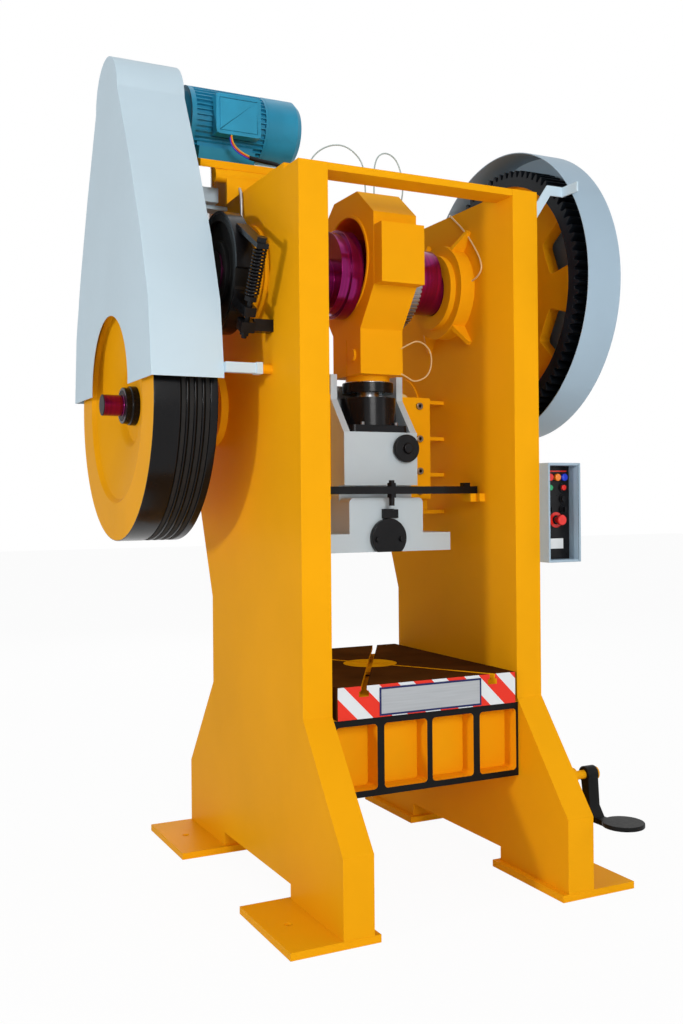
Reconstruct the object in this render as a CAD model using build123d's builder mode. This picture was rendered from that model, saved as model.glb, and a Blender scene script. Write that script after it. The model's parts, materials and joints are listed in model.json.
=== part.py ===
"""Mechanical stamping press with an H-shaped frame and one adjustable eccentric drive.

All lengths are millimetres. X runs to the right seen from the front, Y to the back, Z up.
X = 0 is the middle between the side frames, Y = 0 the middle of their depth and Z = 0 the floor.
The slide stands at the top of its stroke.
"""

import os
from math import atan2, cos, pi, radians, sin, sqrt, tan

from build123d import *

os.makedirs("parts", exist_ok=True)

# Driving dimensions: frame.
press_height = 2600
frame_half_width = 500
frame_thickness = 112
frame_inner = frame_half_width - frame_thickness
post_front = -455
post_back = 640
leg_reach = 755
leg_shoulder = 675
leg_knee = 288
arch_half = 336
arch_top = 79
foot_thickness = 26
foot_inner = 364
foot_outer = 684
anchor_x = 597
anchor_y = 541
anchor_hole = 14

# Driving dimensions: bed and bolster.
bed_bottom = 383
bed_top = 660
bolster_thickness = 115
bolster_top = bed_top + bolster_thickness
bolster_half_x = 372
bolster_half_y = 465
slot_neck = 20
slot_head = 34
slot_depth = 38
slot_neck_depth = 18
slot_angle = 30.1
centre_plug_radius = 107
centre_plug_depth = 30
scrap_radius = 90

# Driving dimensions: crank drive.
crank_z = 2281
throw = 73
collar_throw = 34
rod_length = 594
journal_radius = 95
bush_radius = 146
boss_radius = 190
housing_in = 325
housing_out = frame_half_width + 14
gusset_angles = (35, 145, 215, 325)
sleeve_in = 301
sleeve_radius = 150
lip_radius = 197
lip = 6
pin_radius = 108
rod_half = 93
rod_bore = 187
lining_radius = 184.5
running_gap = 0.05
guide_gap = 0.4
pin_z = crank_z + throw
ball_z = pin_z - rod_length

# Driving dimensions: ball screw below the rod.
ball_radius = 66
ball_gap = 0.4
screw_radius = 45
retainer_radius = 112
retainer_mouth = 60
retainer_top = 1830
retainer_flange = 128

# Driving dimensions: slide and guides.
slide_half = 162
slide_top = 1692
slide_back = 118
wall_front = 124
wall_back = 142
wall_top = 1892
upper_front = -110
lower_front = -150
flange_half = 288
slide_bottom = 1226
flange_top = 1297
slot_low = 1435
shoulder_radius = 20
slot_high = 1484
shank_radius = 25
shank_depth = 80
bar_front = -209
bar_back = -173

# Driving dimensions: gears and flywheel.
module = 12
gear_teeth = 86
pinion_teeth = 17
backlash = 1.2
pinion_y = 400
gear_centres = module * (gear_teeth + pinion_teeth) / 2
pinion_z = crank_z - sqrt(gear_centres**2 - pinion_y**2)
gear_in = 640
gear_out = 760
gear_shaft_radius = 80
gear_rim_in = 462
web_in = 675
web_thickness = 50
window_count = 7
window_first = 158
pinion_shaft_radius = 60
pinion_journal = 70
pinion_bush = 92
pinion_boss = 155
pinion_boss_out = 530
flywheel_radius = 537
flywheel_in = -680
flywheel_out = -920
groove_count = 4
groove_pitch = 30
groove_first = -720
groove_depth = 17
sheet = 4

# Driving dimensions: motor on its tilted plate.
plate_angle = 18
plate_start_y = -324
plate_thickness = 28
motor_y = 400
motor_height = 140
motor_radius = 124
fin_radius = 136
fin_count = 40
cover_radius = 137
motor_z = (
    press_height
    + (motor_y - plate_start_y) * tan(radians(plate_angle))
    + motor_height / cos(radians(plate_angle))
)
motor_shaft_radius = 19
pulley_radius = 121


def x_axis(y, z):
    """Return the axis along X through the given height and depth."""
    return Axis((0, y, z), (1, 0, 0))


def x_profile(y, z):
    """Return a sketch plane for turned pieces: local x runs along X, local y is the radius."""
    return Plane(origin=(0, y, z), x_dir=(1, 0, 0), z_dir=(0, -1, 0))


def on_side(x, y, z):
    """Return a sketch plane square to X, with its middle at the given point."""
    return Plane(origin=(x, y, z), x_dir=(0, 1, 0), z_dir=(1, 0, 0))


def on_front(x, y, z):
    """Return a sketch plane that faces the front, with its middle at the given point."""
    return Plane(origin=(x, y, z), x_dir=(1, 0, 0), z_dir=(0, -1, 0))


def involute(angle):
    return tan(angle) - angle


def gear_points(teeth, first_tooth):
    """Return the outline of a spur gear with one tooth centred on the angle first_tooth."""
    pitch = module * teeth / 2
    tip = pitch + module
    root = pitch - 1.25 * module
    base = pitch * cos(radians(20))
    half_at_pitch = pi / (2 * teeth) - backlash / (4 * pitch) + involute(radians(20))
    low = max(root, base)
    flank = []
    for radius in (low, (low + tip) / 2, tip):
        half = half_at_pitch - involute(atan2(sqrt(radius**2 - base**2), base))
        flank.append((radius, half))
    if root < low:
        flank.insert(0, (root, flank[0][1]))
    points = []
    for tooth in range(teeth):
        middle = first_tooth + 2 * pi * tooth / teeth
        for radius, half in flank:
            points.append((radius * cos(middle - half), radius * sin(middle - half)))
        for radius, half in reversed(flank):
            points.append((radius * cos(middle + half), radius * sin(middle + half)))
    return points


def hand(label, piece, colour):
    """Name, colour and save one piece."""
    piece.label = label
    piece.color = Color(*colour)
    export_step(piece, f"parts/{label}.step")


brake_x = -frame_half_width - 100
brake_plane = Plane(origin=(brake_x, -372, 2337), x_dir=(1, 0, 0), z_dir=(0, 0.503, -0.864))

orange = (0.93, 0.52, 0.05)
pale = (0.72, 0.78, 0.80)
grey = (0.45, 0.47, 0.48)
dark = (0.08, 0.08, 0.09)
steel = (0.68, 0.69, 0.70)
violet = (0.55, 0.10, 0.30)
teal = (0.05, 0.42, 0.45)
red = (0.75, 0.05, 0.05)

# Side frames: closed box sections with flared legs, ribbed bearing housings and shaft bores.
# The left one carries the foot of the brake rod.
for label, near, side in (
    ("left_side_frame", -frame_half_width, -1),
    ("right_side_frame", frame_inner, 1),
):
    with BuildPart() as side_frame:
        with BuildSketch(Plane.YZ.offset(near)):
            with BuildLine():
                Polyline(
                    (post_front, press_height),
                    (post_front, leg_shoulder),
                    (-leg_reach, leg_knee),
                    (-leg_reach, foot_thickness),
                    (-arch_half, foot_thickness),
                    (-arch_half, arch_top),
                    (arch_half, arch_top),
                    (arch_half, foot_thickness),
                    (leg_reach, foot_thickness),
                    (leg_reach, leg_knee),
                    (-post_front, leg_shoulder),
                    (-post_front, 1030),
                    (post_back, 1500),
                    (post_back, press_height),
                    close=True,
                )
            make_face()
        extrude(amount=frame_thickness)
        with BuildSketch(Plane.YZ.offset(side * frame_inner)):
            with Locations((0, crank_z)):
                Circle(boss_radius)
        extrude(amount=-side * (frame_inner - housing_in))
        with BuildSketch(Plane.YZ.offset(side * frame_half_width)):
            with Locations((0, crank_z)):
                Circle(186)
        extrude(amount=side * (housing_out - frame_half_width))
        with BuildSketch(Plane.YZ.offset(side * 380)):
            with Locations((pinion_y, pinion_z)):
                Circle(pinion_boss)
        extrude(amount=side * (pinion_boss_out - 380))
        for angle in gusset_angles:
            out = radians(angle)
            rib_plane = Plane(
                origin=(side * frame_inner, 0, crank_z),
                x_dir=(-side, 0, 0),
                z_dir=(0, side * cos(out), -side * sin(out)),
            )
            with BuildSketch(rib_plane):
                with BuildLine():
                    Polyline((0, 180), (0, 275), (14, 275), (58, 196), (58, 180), close=True)
                make_face()
            extrude(amount=9, both=True)
        with Locations((side * 364, (bar_front + bar_back) / 2, 1433)):
            Box(48, 60, 32)
        with Locations((side * 376, -188, 1433)):
            Box(24, 120, 32)
        with BuildSketch(Plane.YZ.offset(side * 300)):
            with Locations((0, crank_z)):
                Circle(bush_radius)
            with Locations((pinion_y, pinion_z)):
                Circle(pinion_bush)
        extrude(amount=side * 300, mode=Mode.SUBTRACT)
        with BuildSketch(Plane.YZ.offset(side * sleeve_in)):
            with Locations((0, crank_z)):
                Circle(sleeve_radius)
                Circle(journal_radius + 3, mode=Mode.SUBTRACT)
        extrude(amount=side * (housing_in - sleeve_in))
        if side < 0:
            with BuildSketch(brake_plane.offset(304)):
                Rectangle(52, 52)
            extrude(amount=40)
            with Locations((-frame_half_width - 38, -204, 2058)):
                Box(76, 44, 44)
            with BuildSketch(brake_plane):
                Circle(10)
            extrude(amount=372, mode=Mode.SUBTRACT)
            with BuildSketch(Plane.YZ.offset(-frame_half_width)):
                with Locations((-194, 1905.5)):
                    Circle(18)
            extrude(amount=-38)
            with BuildSketch(Plane.YZ.offset(-housing_out)):
                with Locations((0, crank_z)):
                    Circle(168)
                    Circle(152, mode=Mode.SUBTRACT)
            extrude(amount=-26)
    hand(label, side_frame.part, orange)

with BuildPart() as foot_plates:
    with BuildSketch():
        foot_middle_x = (foot_inner + foot_outer) / 2
        foot_middle_y = (arch_half - 20 + leg_reach + 1) / 2
        with GridLocations(2 * foot_middle_x, 2 * foot_middle_y, 2, 2):
            Rectangle(foot_outer - foot_inner, leg_reach + 1 - (arch_half - 20))
        with GridLocations(2 * anchor_x, 2 * anchor_y, 2, 2):
            Circle(anchor_hole, mode=Mode.SUBTRACT)
    extrude(amount=foot_thickness)
hand("foot_plates", foot_plates.part, orange)

with BuildPart() as tie_bars:
    with Locations(
        (0, (post_front - 341) / 2, press_height - 13),
        (0, (post_back + 526) / 2, press_height - 13),
    ):
        Box(2 * frame_inner, 114, 26)
hand("tie_bars", tie_bars.part, orange)

# Bed: a ribbed box between the side frames with open pockets at the front and back.
bed_front = 460
rib = 22
rib_pitch = 198
pocket_depth = 75
pocket_low = bed_bottom + 23
pocket_high = bed_top - 24
with BuildPart() as bed:
    with Locations((0, 0, (bed_bottom + bed_top) / 2)):
        Box(2 * frame_inner, 2 * bed_front, bed_top - bed_bottom)
    for face in (-bed_front, bed_front):
        with BuildSketch(on_front(0, face, (pocket_low + pocket_high) / 2)):
            with Locations((-1.5 * rib_pitch + 1, 0), (1.5 * rib_pitch - 1, 0)):
                RectangleRounded(rib_pitch - rib - 14, pocket_high - pocket_low, 14)
            with Locations((-rib_pitch / 2, 0), (rib_pitch / 2, 0)):
                RectangleRounded(rib_pitch - rib, pocket_high - pocket_low, 14)
        extrude(amount=pocket_depth if face > 0 else -pocket_depth, mode=Mode.SUBTRACT)
    with Locations((0, 0, (bed_bottom + bed_top) / 2)):
        Cylinder(scrap_radius, bed_top - bed_bottom, mode=Mode.SUBTRACT)
hand("bed", bed.part, orange)

with BuildPart() as bolster_plate:
    with Locations((0, 0, bed_top + bolster_thickness / 2)):
        Box(2 * bolster_half_x, 2 * bolster_half_y, bolster_thickness)
    with Locations((0, 0, bolster_top - centre_plug_depth / 2)):
        Cylinder(centre_plug_radius, centre_plug_depth, mode=Mode.SUBTRACT)
    with Locations((0, 0, bed_top + bolster_thickness / 2)):
        Cylinder(scrap_radius, bolster_thickness, mode=Mode.SUBTRACT)
    with BuildSketch(Plane.XY.offset(bolster_top)):
        Rectangle(slot_neck, 1300, rotation=slot_angle)
        Rectangle(slot_neck, 1300, rotation=-slot_angle)
    extrude(amount=-slot_depth, mode=Mode.SUBTRACT)
    with BuildSketch(Plane.XY.offset(bolster_top - slot_neck_depth)):
        Rectangle(slot_head, 1300, rotation=slot_angle)
        Rectangle(slot_head, 1300, rotation=-slot_angle)
    extrude(amount=slot_neck_depth - slot_depth, mode=Mode.SUBTRACT)
hand("bolster_plate", bolster_plate.part, (0.30, 0.26, 0.22))

with BuildPart() as bolster_plug:
    with Locations((0, 0, bolster_top - centre_plug_depth / 2)):
        Cylinder(centre_plug_radius, centre_plug_depth)
    with BuildSketch(Plane.XY.offset(bolster_top)):
        Rectangle(slot_neck, 300, rotation=slot_angle)
        Rectangle(slot_neck, 300, rotation=-slot_angle)
    extrude(amount=-slot_neck_depth, mode=Mode.SUBTRACT)
hand("bolster_plug", bolster_plug.part, (0.85, 0.70, 0.05))

# Slide guides: brackets with cross ribs, wear liners towards the slide and bolted cover plates.
guide_low = 1430
guide_high = 1845
guide_face = slide_half + guide_gap
guide_front = 5
guide_back = 125
cover_thickness = 20
liner_outer = 187
cover_outer = 262
bracket_outer = 297
rib_heights = (1376, 1530, 1680, 1831)
rib_depth = 52
guide_height = guide_high - guide_low
guide_middle = (guide_high + guide_low) / 2
with BuildPart() as guide_brackets:
    for side in (-1, 1):
        with Locations(
            (side * (liner_outer + bracket_outer) / 2, (guide_front + 16 + guide_back) / 2, guide_middle)
        ):
            Box(bracket_outer - liner_outer, guide_back - guide_front - 16, guide_height)
        with Locations((side * (cover_outer + bracket_outer) / 2, guide_front + 12, guide_middle)):
            Box(bracket_outer - cover_outer, 10, guide_height)
        for height in rib_heights:
            with BuildSketch(Plane.XY.offset(height - 8)):
                with BuildLine():
                    Polyline(
                        (side * (bracket_outer - 30), guide_front + 20),
                        (side * frame_inner, rib_depth),
                        (side * frame_inner, guide_back),
                        (side * (bracket_outer - 30), guide_back),
                        close=True,
                    )
                make_face()
            extrude(amount=16)
        with Locations((side * 280, 80, (rib_heights[0] + guide_low) / 2)):
            Box(26, 90, guide_low - rib_heights[0])
hand("guide_brackets", guide_brackets.part, orange)

with BuildPart() as guide_liners:
    for side in (-1, 1):
        with Locations(
            (side * (guide_face + liner_outer) / 2, (guide_back + guide_front + cover_thickness) / 2, guide_middle),
        ):
            Box(liner_outer - guide_face, guide_back - guide_front - cover_thickness, guide_height)
hand("guide_liners", guide_liners.part, (0.70, 0.50, 0.20))

guide_bolt_heights = (1462, 1544, 1676, 1810)
with BuildPart() as guide_covers:
    for side in (-1, 1):
        with Locations((side * (guide_face + liner_outer) / 2, guide_front + cover_thickness / 2, guide_middle)):
            Box(liner_outer - guide_face, cover_thickness, guide_height)
        with Locations((side * (liner_outer + cover_outer) / 2, guide_front + 8, guide_middle)):
            Box(cover_outer - liner_outer, 16, guide_height)
        for height in guide_bolt_heights:
            with BuildSketch(on_front(side * 239, guide_front, height)):
                Circle(9)
            extrude(amount=9)
hand("guide_covers", guide_covers.part, orange)

# Bronze bushes of both shafts.
with BuildPart() as shaft_bushes:
    for side in (-1, 1):
        with BuildSketch(Plane.YZ.offset(side * housing_in)):
            with Locations((0, crank_z)):
                Circle(bush_radius)
                Circle(journal_radius + running_gap, mode=Mode.SUBTRACT)
        extrude(amount=side * (520 - housing_in))
        with BuildSketch(Plane.YZ.offset(side * 380)):
            with Locations((pinion_y, pinion_z)):
                Circle(pinion_bush)
                Circle(pinion_journal + running_gap, mode=Mode.SUBTRACT)
        extrude(amount=side * (pinion_boss_out - 380))
hand("shaft_bushes", shaft_bushes.part, (0.75, 0.55, 0.22))

# Crankshaft: journals, an eccentric pin, a stepped collar and a wide collar beside the rod.
collar_z = crank_z + collar_throw
with BuildPart() as crankshaft:
    with BuildSketch(Plane.YZ.offset(-646)):
        with Locations((0, crank_z)):
            Circle(gear_shaft_radius)
    extrude(amount=126)
    with BuildSketch(Plane.YZ.offset(-520)):
        with Locations((0, crank_z)):
            Circle(journal_radius)
    extrude(amount=330)
    with BuildSketch(Plane.YZ.offset(-190)):
        with Locations((0, collar_z)):
            Circle(162)
    extrude(amount=40)
    with BuildSketch(Plane.YZ.offset(-150)):
        with Locations((0, collar_z)):
            Circle(172)
    extrude(amount=48)
    with BuildSketch(Plane.YZ.offset(-102)):
        with Locations((0, pin_z)):
            Circle(pin_radius)
    extrude(amount=212)
    with BuildSketch(Plane.YZ.offset(110)):
        with Locations((0, collar_z)):
            Circle(130)
    extrude(amount=162)
    with BuildSketch(Plane.YZ.offset(272)):
        with Locations((0, crank_z)):
            Circle(journal_radius)
    extrude(amount=250)
    with BuildSketch(Plane.YZ.offset(522)):
        with Locations((0, crank_z)):
            Circle(gear_shaft_radius)
    extrude(amount=250)
hand("crankshaft", crankshaft.part, violet)

ring_teeth = 72
ring_radius = 200
with BuildPart() as stroke_ring:
    with BuildSketch(Plane.YZ.offset(110)):
        with Locations((0, collar_z)):
            Circle(ring_radius)
            Circle(130, mode=Mode.SUBTRACT)
            with PolarLocations(ring_radius, ring_teeth):
                Rectangle(14, 8, mode=Mode.SUBTRACT)
    extrude(amount=36)
hand("stroke_ring", stroke_ring.part, steel)

# Band brake on the left shaft end.
drum_in = -578
drum_out = -640
drum_radius = 212
band_gap = 0.5
spring_gap = 0.3
spring_length = 176
with BuildPart() as brake_drum:
    with BuildSketch(x_profile(0, crank_z)):
        with BuildLine():
            Polyline(
                (drum_out, 190),
                (drum_out, drum_radius),
                (drum_in, drum_radius),
                (drum_in, 190),
                (-601, 190),
                (-601, 120),
                (-570, 120),
                (-570, gear_shaft_radius),
                (-642, gear_shaft_radius),
                (-642, 120),
                (-624, 120),
                (-624, 190),
                close=True,
            )
        make_face()
    revolve(axis=x_axis(0, crank_z))
hand("brake_drum", brake_drum.part, dark)

with BuildPart() as brake_band:
    with BuildSketch(brake_plane.offset(18)):
        with Locations((0, -96)):
            Rectangle(44, 232)
    extrude(amount=18)
    with BuildSketch(brake_plane.offset(252)):
        with Locations((0, -36)):
            Rectangle(44, 112)
    extrude(amount=34)
    with BuildSketch(Plane.YZ.offset(drum_out)):
        with Locations((0, crank_z)):
            Circle(226)
    extrude(amount=drum_in - drum_out)
    with BuildSketch(Plane.YZ.offset(drum_out)):
        with Locations((0, crank_z)):
            Circle(drum_radius + band_gap)
        with Locations((-220, 2224)):
            Rectangle(60, 70, rotation=-14)
    extrude(amount=drum_in - drum_out, mode=Mode.SUBTRACT)
    with BuildSketch(brake_plane):
        Circle(10)
    extrude(amount=372, mode=Mode.SUBTRACT)
hand("brake_band", brake_band.part, dark)

with BuildPart() as brake_rod:
    with BuildSketch(brake_plane):
        Circle(10)
    extrude(amount=372)
    with BuildSketch(brake_plane):
        RegularPolygon(18, 6)
    extrude(amount=18)
    with BuildSketch(brake_plane.offset(344)):
        RegularPolygon(18, 6)
    extrude(amount=16)
    with BuildSketch(brake_plane.offset(36 + spring_gap + spring_length + spring_gap)):
        RegularPolygon(24, 6)
    extrude(amount=18)
hand("brake_rod", brake_rod.part, steel)

with BuildPart() as brake_spring:
    with BuildSketch(brake_plane.offset(36 + spring_gap)):
        Circle(26)
        Circle(19, mode=Mode.SUBTRACT)
    extrude(amount=spring_length)
hand("brake_spring", brake_spring.part, steel)

# Gear stage on the right: the large gear runs on the crankshaft end until the clutch takes hold.
mesh_angle = atan2(pinion_z - crank_z, pinion_y)
gear_first = mesh_angle + pi / gear_teeth
with BuildPart() as bull_gear:
    with BuildSketch(Plane.YZ.offset(gear_in)):
        with BuildLine():
            Polyline(*[(y, crank_z + z) for y, z in gear_points(gear_teeth, gear_first)], close=True)
        make_face()
        with Locations((0, crank_z)):
            Circle(gear_rim_in, mode=Mode.SUBTRACT)
    extrude(amount=gear_out - gear_in)
    with BuildSketch(Plane.YZ.offset(web_in)):
        with Locations((0, crank_z)):
            Circle(gear_rim_in + 4)
            Circle(96, mode=Mode.SUBTRACT)
    extrude(amount=web_thickness)
    with BuildSketch(Plane.YZ.offset(web_in)) as windows:
        with Locations((0, crank_z)):
            with PolarLocations(374, window_count, start_angle=window_first):
                Polygon((-74, -70), (74, -104), (74, 104), (-74, 70), align=None)
        fillet(windows.vertices(), 22)
    extrude(amount=web_thickness, mode=Mode.SUBTRACT)
    with BuildSketch(Plane.YZ.offset(628)):
        with Locations((0, crank_z)):
            Circle(165)
            Circle(96, mode=Mode.SUBTRACT)
    extrude(amount=140)
hand("bull_gear", bull_gear.part, (0.10, 0.10, 0.10))

with BuildPart() as gear_bush:
    with BuildSketch(Plane.YZ.offset(628)):
        with Locations((0, crank_z)):
            Circle(96)
            Circle(gear_shaft_radius + running_gap, mode=Mode.SUBTRACT)
    extrude(amount=140)
hand("gear_bush", gear_bush.part, (0.75, 0.55, 0.22))

with BuildPart() as drive_pinion:
    with BuildSketch(Plane.YZ.offset(gear_in - 4)):
        with BuildLine():
            pinion_first = mesh_angle + pi
            Polyline(
                *[(pinion_y + y, pinion_z + z) for y, z in gear_points(pinion_teeth, pinion_first)],
                close=True,
            )
        make_face()
        with Locations((pinion_y, pinion_z)):
            Circle(pinion_shaft_radius, mode=Mode.SUBTRACT)
    extrude(amount=gear_out - gear_in + 8)
hand("drive_pinion", drive_pinion.part, steel)

with BuildPart() as pinion_shaft:
    with BuildSketch(x_profile(pinion_y, pinion_z)):
        with BuildLine():
            Polyline(
                (-973, 0),
                (-973, 42),
                (-892, 42),
                (-892, pinion_shaft_radius),
                (-540, pinion_shaft_radius),
                (-540, pinion_journal),
                (540, pinion_journal),
                (540, pinion_shaft_radius),
                (774, pinion_shaft_radius),
                (774, 0),
                close=True,
            )
        make_face()
    revolve(axis=x_axis(pinion_y, pinion_z))
hand("pinion_shaft", pinion_shaft.part, violet)

# Flywheel: grooved rim, dished web and a long hub, held by two collars.
groove_points = []
for index in range(groove_count):
    middle = groove_first - index * groove_pitch
    groove_points.append((middle + 11, flywheel_radius))
    groove_points.append((middle + 7, flywheel_radius - groove_depth))
    groove_points.append((middle - 7, flywheel_radius - groove_depth))
    groove_points.append((middle - 11, flywheel_radius))
with BuildPart() as flywheel:
    with BuildSketch(x_profile(pinion_y, pinion_z)):
        with BuildLine():
            Polyline(
                (flywheel_in, flywheel_radius),
                *groove_points,
                (flywheel_out, flywheel_radius),
                (flywheel_out, 386),
                (-902, 372),
                (-862, 168),
                (-838, 140),
                (-838, pinion_shaft_radius),
                (-700, pinion_shaft_radius),
                (-700, 130),
                (-800, 160),
                (-800, 380),
                (flywheel_in, 430),
                close=True,
            )
        make_face()
    revolve(axis=x_axis(pinion_y, pinion_z))
hand("flywheel", flywheel.part, grey)

with BuildPart() as flywheel_collars:
    with BuildSketch(Plane.YZ.offset(-892)):
        with Locations((pinion_y, pinion_z)):
            Circle(72)
            Circle(pinion_shaft_radius, mode=Mode.SUBTRACT)
    extrude(amount=26)
    with BuildSketch(Plane.YZ.offset(-866)):
        with Locations((pinion_y, pinion_z)):
            Circle(78)
            Circle(pinion_shaft_radius, mode=Mode.SUBTRACT)
    extrude(amount=28)
hand("flywheel_collars", flywheel_collars.part, dark)

# Belts: four closed loops that lie in the grooves.
belt_out = 1
belt_in = 14
belt_half = 7.35
with BuildPart() as drive_belts:
    for index in range(groove_count):
        middle = groove_first - index * groove_pitch
        with BuildSketch(Plane.YZ.offset(middle - belt_half)):
            with Locations((pinion_y, pinion_z)):
                Circle(flywheel_radius - belt_out)
            with Locations((motor_y, motor_z)):
                Circle(pulley_radius - belt_out)
            make_hull()
        extrude(amount=2 * belt_half)
        with BuildSketch(Plane.YZ.offset(middle - belt_half)):
            with Locations((pinion_y, pinion_z)):
                Circle(flywheel_radius - belt_in)
            with Locations((motor_y, motor_z)):
                Circle(pulley_radius - belt_in)
            make_hull()
        extrude(amount=2 * belt_half, mode=Mode.SUBTRACT)
hand("drive_belts", drive_belts.part, (0.03, 0.03, 0.03))

# Motor: turned body and feet on the tilted plate, separate terminal box, fan cover and rotor.
motor_place = Location((0, motor_y, motor_z), (plate_angle, 0, 0))
motor_left = -648
motor_right = -306
with BuildPart() as motor_body:
    with BuildSketch(x_profile(motor_y, motor_z)):
        with BuildLine():
            Polyline(
                (motor_left, motor_shaft_radius + running_gap),
                (motor_left, 70),
                (motor_left + 14, 118),
                (motor_left + 14, fin_radius),
                (motor_left + 34, fin_radius),
                (motor_left + 34, motor_radius),
                (motor_right - 12, motor_radius),
                (motor_right - 12, fin_radius),
                (motor_right, fin_radius),
                (motor_right, motor_shaft_radius + running_gap),
                (motor_right - 40, motor_shaft_radius + running_gap),
                (motor_right - 40, 78),
                (motor_left + 50, 78),
                (motor_left + 50, motor_shaft_radius + running_gap),
                close=True,
            )
        make_face()
    revolve(axis=x_axis(motor_y, motor_z))
    with BuildSketch(Plane.YZ.offset(motor_left + 34)):
        with Locations((motor_y, motor_z)):
            with PolarLocations(fin_radius - 7, fin_count, start_angle=4.5):
                Rectangle(14, 4)
    extrude(amount=motor_right - motor_left - 46)
    with Locations(motor_place):
        with Locations((-478, -112, 25 - motor_height), (-478, 112, 25 - motor_height)):
            Box(240, 66, 50)
        with Locations((-478, -99, -92), (-478, 99, -92)):
            Box(240, 24, 64)
hand("motor_body", motor_body.part, teal)

with BuildPart() as motor_terminal_box:
    with Locations((-455, motor_y - 151, motor_z - 13)):
        Box(186, 50, 156)
    with Locations((-455, motor_y - 126, motor_z - 13)):
        Box(130, 40, 100)
    with BuildSketch(x_profile(motor_y, motor_z)):
        with BuildLine():
            Polyline((-700, 0), (-700, fin_radius + 1), (-200, fin_radius + 1), (-200, 0), close=True)
        make_face()
    revolve(axis=x_axis(motor_y, motor_z), mode=Mode.SUBTRACT)
hand("motor_terminal_box", motor_terminal_box.part, teal)

with BuildPart() as motor_fan_cover:
    with BuildSketch(x_profile(motor_y, motor_z)):
        with BuildLine():
            Polyline(
                (motor_right, cover_radius),
                (-176, cover_radius),
                (-154, cover_radius - 16),
                (-143, cover_radius - 50),
                (-141, 20),
                (-144, 20),
                (-146, cover_radius - 51),
                (-157, cover_radius - 18),
                (-177, cover_radius - 3),
                (motor_right, cover_radius - 3),
                close=True,
            )
        make_face()
    revolve(axis=x_axis(motor_y, motor_z))
hand("motor_fan_cover", motor_fan_cover.part, teal)

with BuildPart() as motor_shaft:
    with BuildSketch(x_profile(motor_y, motor_z)):
        with BuildLine():
            Polyline(
                (-832, 0),
                (-832, motor_shaft_radius),
                (-570, motor_shaft_radius),
                (-570, 77),
                (-370, 77),
                (-370, motor_shaft_radius),
                (-215, motor_shaft_radius),
                (-215, 0),
                close=True,
            )
        make_face()
    revolve(axis=x_axis(motor_y, motor_z))
hand("motor_shaft", motor_shaft.part, steel)

with BuildPart() as motor_fan:
    with BuildSketch(Plane.YZ.offset(-260)):
        with Locations((motor_y, motor_z)):
            Circle(40)
            with PolarLocations(70, 6):
                Rectangle(80, 8)
            Circle(motor_shaft_radius, mode=Mode.SUBTRACT)
    extrude(amount=36)
hand("motor_fan", motor_fan.part, dark)

pulley_points = []
for index in range(groove_count):
    middle = groove_first - index * groove_pitch
    pulley_points.append((middle + 11, pulley_radius))
    pulley_points.append((middle + 7, pulley_radius - groove_depth))
    pulley_points.append((middle - 7, pulley_radius - groove_depth))
    pulley_points.append((middle - 11, pulley_radius))
with BuildPart() as motor_pulley:
    with BuildSketch(x_profile(motor_y, motor_z)):
        with BuildLine():
            Polyline(
                (-704, motor_shaft_radius),
                (-704, pulley_radius),
                *pulley_points,
                (-826, pulley_radius),
                (-826, motor_shaft_radius),
                close=True,
            )
        make_face()
    revolve(axis=x_axis(motor_y, motor_z))
hand("motor_pulley", motor_pulley.part, grey)

slope = Plane(
    origin=(0, plate_start_y, press_height),
    x_dir=(1, 0, 0),
    z_dir=(0, -sin(radians(plate_angle)), cos(radians(plate_angle))),
)
plate_from = (82 - plate_start_y) / cos(radians(plate_angle))
plate_to = (post_back - plate_start_y) / cos(radians(plate_angle))
plate_left = -664
plate_right = -310
with BuildPart() as motor_plate:
    with BuildSketch(slope):
        with Locations(((plate_left + plate_right) / 2, (plate_from + plate_to) / 2)):
            Rectangle(plate_right - plate_left, plate_to - plate_from)
    extrude(amount=-plate_thickness)
hand("motor_plate", motor_plate.part, orange)

slope_rise = tan(radians(plate_angle))
plate_drop = plate_thickness / cos(radians(plate_angle))


def under_plate(y):
    """Return the height of the underside of the motor plate."""
    return press_height + (y - plate_start_y) * slope_rise - plate_drop


tube_y = 105
tube_radius = 26
tube_z = under_plate(tube_y) - (tube_radius + 0.2) / cos(radians(plate_angle))
ledge = 20
panel_front = 82
with BuildPart() as motor_bracket:
    with Locations((-(frame_half_width + frame_inner) / 2, 30, press_height + ledge / 2)):
        Box(frame_thickness, 720, ledge)
    with BuildSketch(on_front(0, panel_front + 18, press_height)):
        with BuildLine():
            Polyline(
                (-frame_half_width - 60, under_plate(panel_front) - press_height),
                (-frame_inner, under_plate(panel_front) - press_height),
                (-frame_inner, ledge),
                (-frame_half_width, ledge),
                (-frame_half_width - 60, -30),
                close=True,
            )
        make_face()
    extrude(amount=18)
    for near in (-frame_half_width, -frame_inner - 24):
        with BuildSketch(Plane.YZ.offset(near)):
            with BuildLine():
                Polyline(
                    (panel_front, press_height),
                    (panel_front, under_plate(panel_front)),
                    (390, under_plate(390)),
                    (390, press_height),
                    close=True,
                )
            make_face()
        extrude(amount=24)
    with BuildSketch(Plane.YZ.offset(-604)):
        with Locations((tube_y, tube_z)):
            Circle(tube_radius)
    extrude(amount=216)
hand("motor_bracket", motor_bracket.part, orange)

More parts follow.
